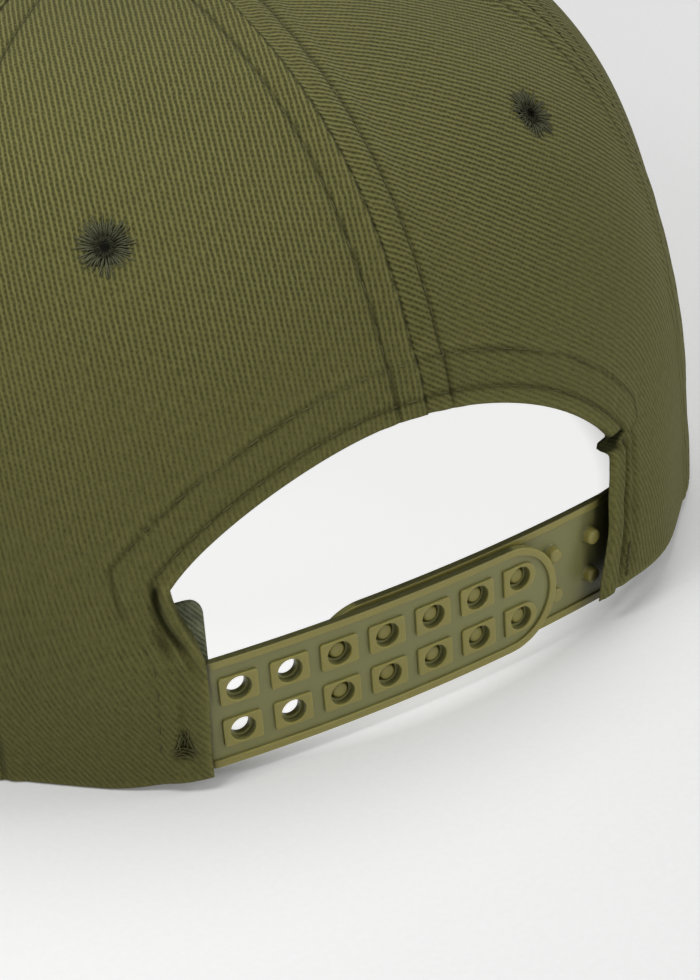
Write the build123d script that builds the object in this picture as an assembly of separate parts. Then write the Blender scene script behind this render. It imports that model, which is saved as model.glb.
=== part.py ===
from build123d import *
from math import cos, degrees, hypot, pi, radians, sin, sqrt
import os

# Six-panel baseball cap with a plastic snap closure at the back. Millimetres.
# +Z is up, +Y points to the back opening, +X to the wearer's left. The origin is the
# middle of the head opening, in the plane that the crown's edge rests on.

# Crown form: superellipse plan, superellipse profile, a top that leans to the front.
HALF_WIDTH = 94.0
HALF_BACK = 90.5
HALF_FRONT = 98.0
CROWN_HEIGHT = 108.5
PLAN_POWER = 2.1
WALL_POWER = 3.3
DOME_POWER = 3.17
TOP_LEAN = 11.0
TOP_HOLE_SCALE = 0.07

# Seams, as directions from +Y towards +X, in degrees. The right side mirrors the left.
BACK_SEAM = 50.8
FRONT_SEAM = 117.0
SEAM_GAP = 0.2

# Layers, each measured inwards from the crown's outer face.
FABRIC = 0.8
LINING_INSET = 1.0
STIFFENER = 0.8
TAPE = 0.5
TAPE_WIDTH = 12.0
FRONT_TAPE_INSET = 2.0
PADDING_INSET = 2.7
PADDING = 0.8
BAND_INSET = 3.7
BAND_COVER = 0.6
BAND_HEIGHT = 32.0
BASE_CLEARANCE = 0.8

# Back opening: a round arch over two straight tab edges.
ARCH_RADIUS = 55.3
ARCH_CENTRE_X = 4.0
ARCH_TOP = 53.0
TAB_TOP_X = {"left": 44.4, "right": -39.1}
TAB_FOOT_X = {"left": 43.2, "right": -34.5}
FACING_WIDTH = 7.0
FLARE_AZIMUTH = 30.0
FLARE_SPREAD = 10.0
FLARE = 3.0
FLARE_FADE = (15.0, 40.0)

# Snap closure: two straps of equal width on one large arc round the back.
STRAP_RADIUS = 283.0
STRAP_BACK_Y = 86.7
STRAP_WIDTH = 20.0
STRAP_MIDDLE_Z = 12.6
PITCH = 8.75
ROW_SPACING = 7.83
COLUMNS = 7
ENGAGED_COLUMNS = 5
FIRST_HOLE_ARC = 37.3
OUTER_PLATE = (-1.1, 0.3)
OUTER_RIM_TOP = 1.0
INNER_PLATE = (-3.3, -2.0)
INNER_RIM_TOP = -1.4
RIM_WIDTH = 1.4
PAD_LENGTH = 6.6
PAD_HEIGHT = 5.1
HOLE_RADIUS = 2.15
PEG_BASE_RADIUS = 1.4
PEG_TIP_RADIUS = 1.25
PEG_TOP = 0.4
OUTER_TIP_ARC = -23.0
INNER_TIP_ARC = 24.0
HINGE_X = {"left": 41.4, "right": -36.9}
ANCHOR_GAP = 0.7
ANCHOR_LENGTH = 15.0
ANCHOR_INSET = 1.1
ANCHOR_THICKNESS = 1.2

# Visor: a slab bent to a large radius, cut to a rounded outline.
VISOR_LENGTH = 70.0
VISOR_HALF_WIDTH = 87.0
VISOR_EAR = (83.0, -49.0)
VISOR_BEND_RADIUS = 260.0
VISOR_BOARD = 1.8
VISOR_COVER = 0.7
VISOR_GAP = 0.15
VISOR_SEAM_GAP = 0.3
VISOR_FLOOR_GAP = 0.3
VISOR_ROOT_INSET = 0.9
VISOR_EDGE = 0.8
BASE_RISE_SPAN = 37.0

# Eyelets and button.
EYELETS = {"back": (30.3, 83.8), "side": (84.0, 80.0), "front": (146.0, 82.0)}
EYELET_RADIUS = 5.2
EYELET_BORE = 1.3
EYELET_BARREL = 2.1
EYELET_GAP = 0.35
EYELET_FLANGE = 0.45
BUTTON_RADIUS = 7.0
BUTTON_HEIGHT = 4.2
BARTACK = (1.2, 0.6, 9.0)

SIDES = {"left": 1, "right": -1}


# ---- crown surface -------------------------------------------------------------------

def plan_radius(azimuth):
    half_depth = HALF_BACK if cos(azimuth) > 0 else HALF_FRONT
    across = abs(sin(azimuth)) / HALF_WIDTH
    along = abs(cos(azimuth)) / half_depth
    return (across**PLAN_POWER + along**PLAN_POWER) ** (-1 / PLAN_POWER)


def smooth_step(value, low, high):
    share = min(max((value - low) / (high - low), 0), 1)
    return share * share * (3 - 2 * share)


def tab_flare(azimuth, height):
    """How far the left tab stands out, where the strap pulls it straight."""
    spread = (degrees(azimuth) - FLARE_AZIMUTH) / FLARE_SPREAD
    return FLARE * 2.718**(-spread * spread) * (1 - smooth_step(height, *FLARE_FADE))


def profile_table():
    """(length, scale, height) up the crown wall, from its foot to its top."""
    steps, rows = 3000, [(0.0, 1.0, 0.0)]
    for step in range(1, steps + 1):
        angle = pi / 2 * step / steps
        scale = max(cos(angle), 0) ** (2 / DOME_POWER)
        height = CROWN_HEIGHT * sin(angle) ** (2 / WALL_POWER)
        length, last_scale, last_height = rows[-1]
        run = (last_scale - scale) * HALF_WIDTH
        rows.append((length + hypot(run, height - last_height), scale, height))
    return rows


PROFILE = profile_table()


def profile(value, key=0):
    """The table's row where column key (0 length, 1 scale, 2 height) has this value."""
    if key == 1:
        reached = [row for row in PROFILE if row[1] >= value]
    else:
        reached = [row for row in PROFILE if row[key] <= value]
    if not reached:
        return (value, 1.0, value)
    low = reached[-1]
    high = PROFILE[min(len(reached), len(PROFILE) - 1)]
    span = high[key] - low[key]
    share = (value - low[key]) / span if span else 0
    return tuple(a + (b - a) * share for a, b in zip(low, high))


def crown_face(azimuth, length):
    _, scale, height = profile(length)
    radius = plan_radius(azimuth) * scale + tab_flare(azimuth, height)
    lean = TOP_LEAN * (max(height, 0) / CROWN_HEIGHT) ** 2
    return Vector(radius * sin(azimuth), radius * cos(azimuth) - lean, height)


def crown_normal(azimuth, length):
    step = 0.004
    around = crown_face(azimuth + step, length) - crown_face(azimuth - step, length)
    upward = crown_face(azimuth, length + 0.3) - crown_face(azimuth, length - 0.3)
    return upward.cross(around).normalized()


def crown_point(azimuth, length, inset):
    return crown_face(azimuth, length) - crown_normal(azimuth, length) * inset


def seam_line(azimuth_deg, offset=0.0):
    """A line up the crown that keeps offset millimetres beside a seam."""
    azimuth = radians(azimuth_deg)
    return lambda length: azimuth + offset / (plan_radius(azimuth) * profile(length)[1])


def patch_grid(inset, side_a, side_b, bottom, top, columns, rows):
    """Points over one face of a layer, column by column from foot to top."""
    grid = []
    for column in range(columns + 1):
        share = column / columns
        foot = side_a(0) + (side_b(0) - side_a(0)) * share
        low, high = bottom(foot), top(foot)
        line = []
        for row in range(rows + 1):
            length = low + (high - low) * row / rows
            azimuth = side_a(length) + (side_b(length) - side_a(length)) * share
            line.append(crown_point(azimuth, length, inset))
        grid.append(line)
    return grid


def crown_patch(inset, thickness, side_a, side_b, bottom, top, columns=12, rows=22):
    """A closed piece of one layer. bottom and top give wall length for an azimuth."""
    faces = []
    for depth in (inset, inset + thickness):
        grid = patch_grid(depth, side_a, side_b, bottom, top, columns, rows)
        faces.append(Face.make_surface_from_array_of_points(grid, tol=0.005))
    outer_edges = faces[0].edges()
    for edge in outer_edges:
        partner = faces[1].edges().sort_by_distance(edge.position_at(0.5))[0]
        faces.append(Face.make_surface_from_curves(edge, partner))
    return Solid(Shell(faces)).fix()


# ---- base line -----------------------------------------------------------------------

def visor_height(x):
    """Top of the visor above x, measured at its root."""
    sag_at_edge = VISOR_BEND_RADIUS - sqrt(VISOR_BEND_RADIUS**2 - VISOR_HALF_WIDTH**2)
    stack = VISOR_BOARD + 2 * (VISOR_COVER + VISOR_GAP)
    sag = VISOR_BEND_RADIUS - sqrt(VISOR_BEND_RADIUS**2 - x * x)
    return VISOR_FLOOR_GAP + stack + sag_at_edge - sag


def base_height(azimuth):
    """Crown edge: on the ground at the back and sides, on the visor in front."""
    turn = abs(degrees(azimuth))
    turn = min(turn, 360 - turn)
    rise = smooth_step(turn, FRONT_SEAM - BASE_RISE_SPAN, FRONT_SEAM)
    x = plan_radius(azimuth) * sin(azimuth)
    return rise * (visor_height(x) + VISOR_SEAM_GAP)


def ground_cut():
    """Everything below the resting plane."""
    return Pos(0, 0, -20) * Box(400, 400, 40)


def panel_foot(azimuth):
    below = 3.0
    height = base_height(azimuth)
    return height if height > below else height - below * (1 - height / below)


# ---- back opening --------------------------------------------------------------------

def arch_outline(grow=0.0, foot=-6.0):
    """The opening's outline in X and Z, grown outwards by grow."""
    radius = ARCH_RADIUS + grow
    centre_z = ARCH_TOP - ARCH_RADIUS
    left_x, right_x = TAB_TOP_X["left"] + grow, TAB_TOP_X["right"] - grow
    left_z = centre_z + sqrt(radius**2 - (left_x - ARCH_CENTRE_X) ** 2)
    right_z = centre_z + sqrt(radius**2 - (right_x - ARCH_CENTRE_X) ** 2)
    crown_of_arch = (ARCH_CENTRE_X, centre_z + radius)
    left_foot = (TAB_FOOT_X["left"] + grow, foot)
    right_foot = (TAB_FOOT_X["right"] - grow, foot)
    outline = ThreePointArc((left_x, left_z), crown_of_arch, (right_x, right_z))
    outline += Line((right_x, right_z), right_foot)
    outline += Line(right_foot, left_foot)
    outline += Line(left_foot, (left_x, left_z))
    return make_face(Plane.XZ * outline)


def arch_cut(grow=0.0, foot=-6.0):
    """The opening as a block that runs out through the back."""
    return extrude(Pos(0, 20, 0) * arch_outline(grow, foot), amount=-120)


# ---- fabric parts --------------------------------------------------------------------

def seams_of(panel, side):
    """The two seam directions that bound a panel, in degrees, in rising order."""
    left = {"back": (0, BACK_SEAM), "side": (BACK_SEAM, FRONT_SEAM), "front": (FRONT_SEAM, 180)}
    low, high = left[panel]
    return (low, high) if side == "left" else (-high, -low)


def panel(name, side):
    low, high = seams_of(name, side)
    top = profile(TOP_HOLE_SCALE, key=1)[0]
    edges = seam_line(low, SEAM_GAP / 2), seam_line(high, -SEAM_GAP / 2)
    piece = crown_patch(0, FABRIC, *edges, panel_foot, lambda azimuth: top, 14, 26)
    if name != "front":
        piece -= ground_cut()
    if name == "back":
        piece -= arch_cut()
    azimuth, height = EYELETS[name]
    return piece - eyelet_frame(azimuth * SIDES[side], height) * Cylinder(EYELET_BARREL + 0.2, 8)


def front_stiffener(side):
    low, high = seams_of("front", side)
    margin = TAPE_WIDTH / 2 + 1.5
    edges = seam_line(low, margin), seam_line(high, -0.3)
    if side == "right":
        edges = seam_line(low, 0.3), seam_line(high, -margin)
    top = profile(0.3, key=1)[0]
    foot = lambda azimuth: base_height(azimuth) + BASE_CLEARANCE
    piece = crown_patch(LINING_INSET, STIFFENER, *edges, foot, lambda azimuth: top, 14, 24)
    azimuth, height = EYELETS["front"]
    hole = Cylinder(EYELET_RADIUS + 0.8, 10)
    return piece - eyelet_frame(azimuth * SIDES[side], height) * hole


def seam_tape(azimuth_deg, inset, foot_height):
    top = profile(0.17, key=1)[0]
    foot = max(foot_height, base_height(radians(azimuth_deg)) + BASE_CLEARANCE + 0.6)
    edges = seam_line(azimuth_deg, -TAPE_WIDTH / 2), seam_line(azimuth_deg, TAPE_WIDTH / 2)
    return crown_patch(inset, TAPE, *edges, lambda azimuth: foot, lambda azimuth: top, 4, 28)


def sweatband_layer(inset, thickness, trim):
    """A strip round the inside, open at the back between the two tabs."""
    start, end = radians(29.6 + trim), radians(360 - 27.6 - trim)
    foot = lambda azimuth: base_height(azimuth) + BASE_CLEARANCE + trim
    top = lambda azimuth: base_height(azimuth) + BAND_HEIGHT - trim
    return crown_patch(inset, thickness, lambda length: start, lambda length: end,
                       foot, top, 72, 8)


def arch_facing():
    """A tape on the inside that finishes the arch's edge."""
    low, high = radians(-36), radians(36)
    layer = crown_patch(LINING_INSET, TAPE, lambda length: low, lambda length: high,
                        lambda azimuth: 24.0, lambda azimuth: 66.0, 24, 10)
    return layer & arch_cut(FACING_WIDTH) - arch_cut(0.4)


def bartack(side):
    """A short bar of thread that fastens a tab to the strap end under it."""
    width, thickness, height = BARTACK
    azimuth = radians(29.8) if side == "left" else radians(-28.6)
    frame = surface_frame(azimuth, 12.0)
    return frame * Pos(0, 0, 0.3 + thickness / 2) * Box(width, height, thickness)


# ---- eyelets and button --------------------------------------------------------------

def surface_frame(azimuth, length, inset=0.0):
    """A frame on the crown: local Z outwards, local Y up the wall."""
    normal = crown_normal(azimuth, length)
    upward = crown_face(azimuth, length + 0.5) - crown_face(azimuth, length - 0.5)
    across = upward.normalized().cross(normal)
    return Plane(crown_point(azimuth, length, inset), x_dir=across, z_dir=normal).location


def eyelet_frame(azimuth_deg, height):
    return surface_frame(radians(azimuth_deg), profile(height, key=2)[0])


def eyelet(name, side):
    """A thread-worked ring: a flange on each face of the fabric and a barrel through."""
    outer_low, outer_high = EYELET_GAP, EYELET_GAP + EYELET_FLANGE
    inner_high, inner_low = -FABRIC - EYELET_GAP, -FABRIC - EYELET_GAP - EYELET_FLANGE
    ring = Pos(0, 0, (outer_low + outer_high) / 2) * Cylinder(EYELET_RADIUS, EYELET_FLANGE)
    ring += Pos(0, 0, (inner_low + inner_high) / 2) * Cylinder(EYELET_RADIUS - 0.6, EYELET_FLANGE)
    depth = outer_high - inner_low
    barrel = Pos(0, 0, (outer_high + inner_low) / 2)
    ring = ring + barrel * Cylinder(EYELET_BARREL, depth) - barrel * Cylinder(EYELET_BORE, 2 * depth)
    azimuth, height = EYELETS[name]
    return eyelet_frame(azimuth * SIDES[side], height) * ring


def button_dome(radius, height, thickness):
    """A hollow cap of a sphere, open below."""
    sphere_radius = (radius**2 + height**2) / (2 * height)
    outside = Pos(0, 0, height - sphere_radius) * Sphere(sphere_radius)
    inside = Pos(0, 0, height - sphere_radius) * Sphere(sphere_radius - thickness)
    above = Pos(0, 0, 50) * Box(100, 100, 100)
    return (outside - inside) & above


def button_parts():
    """Fabric cover, metal shell and the tack that holds them through the crown's top."""
    seat = Pos(0, -TOP_LEAN, CROWN_HEIGHT + 0.3)
    cover = button_dome(BUTTON_RADIUS, BUTTON_HEIGHT, 0.6)
    shell = button_dome(BUTTON_RADIUS - 0.75, BUTTON_HEIGHT - 0.75, 0.5)
    stem_length = 5.6
    stem = Pos(0, 0, 2.6 - stem_length / 2) * Cylinder(1.2, stem_length)
    washer = Pos(0, 0, 2.6 - stem_length) * Cylinder(9.0, 0.8)
    return {"top_button_cover": seat * cover, "top_button_shell": seat * shell,
            "top_button_tack": seat * (stem + washer)}


# ---- snap closure --------------------------------------------------------------------

ARC_CENTRE_Y = STRAP_BACK_Y - STRAP_RADIUS


def on_strap(arc, row_offset=0.0):
    """A frame on the strap's arc: local Z outwards, local X to the left, local Y up."""
    turn = arc / STRAP_RADIUS
    point = Vector(STRAP_RADIUS * sin(turn), ARC_CENTRE_Y + STRAP_RADIUS * cos(turn),
                   STRAP_MIDDLE_Z + row_offset)
    normal = Vector(sin(turn), cos(turn), 0)
    return Plane(point, x_dir=Vector(-cos(turn), sin(turn), 0), z_dir=normal).location


def arc_band(low, high, start_arc, end_arc, width):
    """A slab that follows the strap's arc, between two heights over that arc."""
    span = (start_arc - end_arc) / STRAP_RADIUS
    ring = Cylinder(STRAP_RADIUS + high, width) - Cylinder(STRAP_RADIUS + low, 2 * width)
    reach = 2 * STRAP_RADIUS
    half = span / 2
    wedge = make_face(Polyline((0, 0), (reach * sin(half), reach * cos(half)),
                               (-reach * sin(half), reach * cos(half)), close=True))
    middle = degrees((start_arc + end_arc) / 2 / STRAP_RADIUS)
    block = Rot(0, 0, -middle) * extrude(wedge, amount=width, both=True)
    return Pos(0, ARC_CENTRE_Y, STRAP_MIDDLE_Z) * (ring & block)


def strap_sheet(low, high, root_arc, tip_arc, margin=0.0):
    """A band with a half-round tip, margin narrower than the strap all round."""
    radius = STRAP_WIDTH / 2 - margin
    towards_tip = 1 if tip_arc > root_arc else -1
    bend_arc = tip_arc - towards_tip * STRAP_WIDTH / 2
    ends = (max(root_arc, bend_arc), min(root_arc, bend_arc))
    band = arc_band(low, high, *ends, 2 * radius)
    over_tip = (max(bend_arc, tip_arc) + 1, min(bend_arc, tip_arc) - 1)
    round_tip = on_strap(bend_arc) * Cylinder(radius, 12)
    return band + (arc_band(low, high, *over_tip, 2 * radius) & round_tip)


def rim(low, high, root_arc, tip_arc):
    """The raised edge round a strap."""
    towards_tip = 1 if tip_arc > root_arc else -1
    inside = strap_sheet(low - 1, high + 1, root_arc - towards_tip * 5, tip_arc, RIM_WIDTH)
    return strap_sheet(low, high, root_arc, tip_arc) - inside


def hole_arcs():
    return [FIRST_HOLE_ARC - PITCH * column for column in range(COLUMNS)]


def peg_arcs():
    first = FIRST_HOLE_ARC - PITCH * (COLUMNS - ENGAGED_COLUMNS)
    return [first - PITCH * column for column in range(COLUMNS)]


def rows():
    return (-ROW_SPACING / 2, ROW_SPACING / 2)


def strap_root(side):
    return STRAP_RADIUS * sin(HINGE_X[side] / STRAP_RADIUS)


def outer_strap():
    """The strap with holes: plate, raised rim, and a raised pad round each hole."""
    root = strap_root("left")
    plate_low, plate_high = OUTER_PLATE
    strap = strap_sheet(plate_low, plate_high, root, OUTER_TIP_ARC)
    strap += rim(plate_high - 0.2, OUTER_RIM_TOP, root, OUTER_TIP_ARC)
    pad_depth = OUTER_RIM_TOP - plate_high + 0.2
    for arc in hole_arcs():
        for row in rows():
            pad = Pos(0, 0, plate_high - 0.2 + pad_depth / 2) * Box(PAD_LENGTH, PAD_HEIGHT, pad_depth)
            strap += on_strap(arc, row) * pad
    for arc in hole_arcs():
        for row in rows():
            strap -= on_strap(arc, row) * Cylinder(HOLE_RADIUS, 8)
    return strap


def peg():
    """A tapered stud that rises from the inner strap's plate, with a rounded end."""
    foot = INNER_PLATE[1] - 0.2
    height = PEG_TOP - foot
    stud = Pos(0, 0, foot + height / 2) * Cone(PEG_BASE_RADIUS, PEG_TIP_RADIUS, height)
    return fillet(stud.edges().sort_by(Axis.Z)[-1:], 0.4)


def inner_strap():
    """The strap with pegs: plate, low rim, two rows of pegs."""
    root = strap_root("right")
    plate_low, plate_high = INNER_PLATE
    strap = strap_sheet(plate_low, plate_high, root, INNER_TIP_ARC)
    strap += rim(plate_high - 0.2, INNER_RIM_TOP, root, INNER_TIP_ARC)
    for arc in peg_arcs():
        if arc > root + 2:
            for row in rows():
                strap += on_strap(arc, row) * peg()
    return strap


def strap_anchor(side):
    """The strap's sewn end, flat between a tab's fabric and its sweatband."""
    sign = SIDES[side]
    start_x = HINGE_X[side] + sign * ANCHOR_GAP
    low_z, high_z = (STRAP_MIDDLE_Z + end * STRAP_WIDTH / 2 for end in (-1, 1))
    near = radians(sign * 20)
    far = radians(sign * 38)
    layer = crown_patch(ANCHOR_INSET, ANCHOR_THICKNESS,
                        lambda length: min(near, far), lambda length: max(near, far),
                        lambda azimuth: low_z, lambda azimuth: high_z, 10, 4)
    keep = Pos(start_x + sign * ANCHOR_LENGTH / 2, 80, STRAP_MIDDLE_Z)
    return layer & keep * Box(ANCHOR_LENGTH, 80, 60)


# ---- visor ---------------------------------------------------------------------------

def visor_slab(drop, thickness):
    """A sheet bent about an axis along Y, drop below the visor's top face."""
    axis_z = visor_height(0) - VISOR_BEND_RADIUS
    radius = VISOR_BEND_RADIUS - drop
    outer = Pos(0, 0, axis_z) * Rot(90, 0, 0) * Cylinder(radius, 400)
    inner = Pos(0, 0, axis_z) * Rot(90, 0, 0) * Cylinder(radius - thickness, 500)
    return (outer - inner) & Pos(0, -120, 30) * Box(240, 240, 120)


def visor_outline(margin):
    """Plan outline: open inside the crown, a rounded edge from ear to ear in front."""
    ear_x, ear_y = VISOR_EAR[0] - margin / 2, VISOR_EAR[1] - margin
    half = VISOR_HALF_WIDTH - margin
    tip_y = -HALF_FRONT - VISOR_LENGTH + margin
    edge = Spline((-ear_x, ear_y), (-half, ear_y - 0.33 * VISOR_LENGTH),
                  (-0.8 * half, tip_y + 0.5 * VISOR_LENGTH), (0, tip_y),
                  (0.8 * half, tip_y + 0.5 * VISOR_LENGTH),
                  (half, ear_y - 0.33 * VISOR_LENGTH), (ear_x, ear_y))
    return make_face(edge + Line((ear_x, ear_y), (-ear_x, ear_y)))


def crown_column(inset):
    """The crown's foot as an upright column, to cut the visor's root."""
    count = 72
    ring = [crown_point(2 * pi * step / count, 6.0, inset) for step in range(count)]
    outline = Spline([(point.X, point.Y) for point in ring], periodic=True)
    return extrude(make_face(outline), amount=80)


def visor_sheet(drop, thickness, margin):
    prism = extrude(visor_outline(margin), amount=80)
    sheet = visor_slab(drop, thickness) & prism
    return sheet - Pos(0, 0, -10) * crown_column(VISOR_ROOT_INSET)


def visor_parts():
    board_drop = VISOR_COVER + VISOR_GAP
    under_drop = board_drop + VISOR_BOARD + VISOR_GAP
    return {"visor_top_cover": visor_sheet(0, VISOR_COVER, 0),
            "visor_board": visor_sheet(board_drop, VISOR_BOARD, VISOR_EDGE),
            "visor_under_cover": visor_sheet(under_drop, VISOR_COVER, 0)}


# ---- assembly ------------------------------------------------------------------------

def build_nodes():
    nodes = {}
    for side in SIDES:
        for name in EYELETS:
            nodes[f"{name}_panel_{side}"] = panel(name, side)
            nodes[f"{name}_eyelet_{side}"] = eyelet(name, side)
        nodes[f"front_stiffener_{side}"] = front_stiffener(side)
        sign = SIDES[side]
        nodes[f"back_seam_tape_{side}"] = seam_tape(sign * BACK_SEAM, LINING_INSET, 2.0)
        nodes[f"front_seam_tape_{side}"] = seam_tape(sign * FRONT_SEAM, LINING_INSET, 2.0)
        nodes[f"{side}_tab_bartack"] = bartack(side)
    nodes["centre_back_seam_tape"] = seam_tape(0, LINING_INSET, ARCH_TOP + FACING_WIDTH + 2.0)
    nodes["centre_front_seam_tape"] = seam_tape(180, FRONT_TAPE_INSET, 2.0)
    nodes["arch_facing"] = arch_facing()
    nodes["sweatband_padding"] = sweatband_layer(PADDING_INSET, PADDING, 0.6)
    nodes["sweatband_cover"] = sweatband_layer(BAND_INSET, BAND_COVER, 0.0)
    nodes["outer_strap"] = outer_strap()
    nodes["outer_strap_anchor"] = strap_anchor("left")
    nodes["inner_strap"] = inner_strap()
    nodes["inner_strap_anchor"] = strap_anchor("right")
    nodes.update(visor_parts())
    nodes.update(button_parts())
    return nodes


os.makedirs("parts", exist_ok=True)
for node, shape in build_nodes().items():
    export_step(shape, f"parts/{node}.step")
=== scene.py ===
import math

import bmesh
import bpy
import numpy as np
from mathutils import Matrix, Vector


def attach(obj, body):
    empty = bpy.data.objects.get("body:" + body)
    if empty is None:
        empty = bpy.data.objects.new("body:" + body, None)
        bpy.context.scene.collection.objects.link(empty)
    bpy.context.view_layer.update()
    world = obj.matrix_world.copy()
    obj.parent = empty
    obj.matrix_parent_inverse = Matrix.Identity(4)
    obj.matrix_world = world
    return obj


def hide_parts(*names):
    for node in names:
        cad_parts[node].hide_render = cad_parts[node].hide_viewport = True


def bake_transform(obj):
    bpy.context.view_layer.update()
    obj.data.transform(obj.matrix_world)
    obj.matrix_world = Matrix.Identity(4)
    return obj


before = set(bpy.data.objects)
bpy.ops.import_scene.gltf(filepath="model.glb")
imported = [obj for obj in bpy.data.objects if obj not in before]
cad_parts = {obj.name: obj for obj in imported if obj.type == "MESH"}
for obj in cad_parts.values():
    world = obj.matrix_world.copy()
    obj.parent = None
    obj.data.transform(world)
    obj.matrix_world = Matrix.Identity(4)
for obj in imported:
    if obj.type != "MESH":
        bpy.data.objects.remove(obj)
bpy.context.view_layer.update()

# The looks of a six-panel baseball cap. Shapes are worked out in millimetres, in the CAD frame: +Z up,
# +Y towards the back opening, +X to the wearer's left. An azimuth is an angle from +Y towards +X.
MM = 0.001
RANDOM_SEED = 7
rng = np.random.default_rng(RANDOM_SEED)

# Crown form, the same curves as the CAD panels.
HALF_WIDTH, HALF_BACK, HALF_FRONT = 94.0, 90.5, 98.0
CROWN_HEIGHT, TOP_LEAN, TOP_HOLE_SCALE = 108.5, 11.0, 0.07
PLAN_POWER, WALL_POWER, DOME_POWER = 2.1, 3.3, 3.17
BACK_SEAM, FRONT_SEAM = 50.8, 117.0
FABRIC = 0.8
FLARE, FLARE_AZIMUTH, FLARE_SPREAD, FLARE_FADE = 3.0, 30.0, 10.0, (15.0, 40.0)
RIGHT_SWELL, SWELL_AZIMUTH, SWELL_SPREAD, SWELL_FADE = 1.2, -62.0, 15.0, (4.0, 20.0)

# Back opening: a round arch over two tab edges, given as (height, x) points down each edge.
ARCH_RADIUS, ARCH_CENTRE_X, ARCH_TOP = 55.3, 4.0, 52.2
ARCH_CENTRE_Z = ARCH_TOP - ARCH_RADIUS
TABS = {
    "left": ((0, 43.2), (5, 43.2), (12, 42.8), (18, 42.3), (23, 42.1), (27, 42.9), (30, 43.8), (32.5, 44.3),
             (34.7, 44.4)),
    "right": ((0, -31.4), (5, -32.2), (10, -33.4), (16, -34.6), (22, -35.1), (25, -35.7), (28, -36.3),
              (30.6, -36.5), (31.6, -36.0), (32.1, -36.7), (32.6, -38.25)),
}
TAB_SLANT = {"left": 1.12, "right": 1.08}      # distance from a tab's edge for each millimetre of x
ROW_SLANT = 1.12      # the same, for what is sewn beside either tab
TAB_RISE = {"left": (2.3, 26.0, 38.0), "right": (5.4, 22.0, 55.0)}

# Sewing.
STITCH_PITCH, STITCH_LENGTH, THREAD_RADIUS = 3.4, 2.7, 0.13
SEAM_ROW = 5.0
HEM_ROWS = (2.7, 8.2)
HEM_WIDTH = 8.9

# Eyelets: azimuth and height, as in the CAD.
EYELETS = {"back": (30.3, 83.8), "side": (84.0, 80.0), "front": (146.0, 82.0)}
EYELET_RADIUS = 4.6
EYELET_HOLE = 1.0
PANEL_HOLE = 3.0      # the cloth is cut away within this radius, under the threads

# Visor.
VISOR_HALF_WIDTH, VISOR_BEND_RADIUS = 87.0, 260.0
VISOR_STACK = 3.5
VISOR_FLOOR_GAP = 0.3

SIDES = {"left": 1, "right": -1}

# The direction across the cloth's ribs, in degrees above the horizontal seen from outside: high up on
# each panel, and at its foot, where the cloth is drawn out of line.
GRAIN = {("back", "left"): (3, 38), ("back", "right"): (51, 10), ("side", "left"): (24, 34),
         ("side", "right"): (40, 30), ("front", "left"): (30, 30), ("front", "right"): (36, 36)}


# ---- numbers ---------------------------------------------------------------------------

def smooth(value, low, high):
    share = np.clip((value - low) / (high - low), 0, 1)
    return share * share * (3 - 2 * share)


def bump(value, centre, width):
    return np.exp(-(((value - centre) / width) ** 2))


def graded(length, fine_zone, fine_step, coarse_step, both=True):
    """Positions from 0 to length, close together near the start, and near the end if both."""
    fine_zone = min(fine_zone, length / (2.2 if both else 1.1))
    fine = np.linspace(0, fine_zone, max(2, int(round(fine_zone / fine_step)) + 1))
    end = length - fine_zone if both else length
    count = max(2, int(round((end - fine_zone) / coarse_step)) + 1)
    parts = [fine, np.linspace(fine_zone, end, count)[1:]]
    if both:
        parts.append((length - fine[::-1])[1:])
    return np.concatenate(parts)


# ---- crown surface ---------------------------------------------------------------------

def plan_radius(azimuth):
    half_depth = np.where(np.cos(azimuth) > 0, HALF_BACK, HALF_FRONT)
    across = np.abs(np.sin(azimuth)) / HALF_WIDTH
    along = np.abs(np.cos(azimuth)) / half_depth
    return (across**PLAN_POWER + along**PLAN_POWER) ** (-1 / PLAN_POWER)


def profile_table():
    angle = np.linspace(0, math.pi / 2, 3001)
    scale = np.maximum(np.cos(angle), 0) ** (2 / DOME_POWER)
    height = CROWN_HEIGHT * np.sin(angle) ** (2 / WALL_POWER)
    run = np.hypot(np.diff(scale) * HALF_WIDTH, np.diff(height))
    return np.concatenate([[0], np.cumsum(run)]), scale, height


PROFILE_LENGTH, PROFILE_SCALE, PROFILE_HEIGHT = profile_table()


def length_at_scale(scale):
    return float(np.interp(-scale, -PROFILE_SCALE, PROFILE_LENGTH))


TOP_LENGTH = length_at_scale(TOP_HOLE_SCALE)


def scale_at(length):
    return np.interp(length, PROFILE_LENGTH, PROFILE_SCALE)


def height_at(length):
    return np.where(length < 0, length, np.interp(length, PROFILE_LENGTH, PROFILE_HEIGHT))


def length_at(height):
    return np.where(height < 0, height, np.interp(height, PROFILE_HEIGHT, PROFILE_LENGTH))


def tab_flare(azimuth, height):
    turn = np.degrees(azimuth)
    flare = FLARE * bump(np.abs(turn), FLARE_AZIMUTH, FLARE_SPREAD) * (1 - smooth(height, *FLARE_FADE))
    return flare + RIGHT_SWELL * bump(turn, SWELL_AZIMUTH, SWELL_SPREAD) * (1 - smooth(height, *SWELL_FADE))


def crown_face(azimuth, length):
    """Points on the crown's outer face, before any sewing detail."""
    azimuth, length = np.broadcast_arrays(np.asarray(azimuth, float), np.asarray(length, float))
    height = height_at(length)
    radius = plan_radius(azimuth) * scale_at(length) + tab_flare(azimuth, height)
    lean = TOP_LEAN * (np.maximum(height, 0) / CROWN_HEIGHT) ** 2
    return np.stack([radius * np.sin(azimuth), radius * np.cos(azimuth) - lean, height], -1)


def crown_normal(azimuth, length):
    around = crown_face(azimuth + 0.004, length) - crown_face(azimuth - 0.004, length)
    upward = crown_face(azimuth, length + 0.3) - crown_face(azimuth, length - 0.3)
    normal = np.cross(upward, around)
    return normal / np.linalg.norm(normal, axis=-1, keepdims=True)


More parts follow.
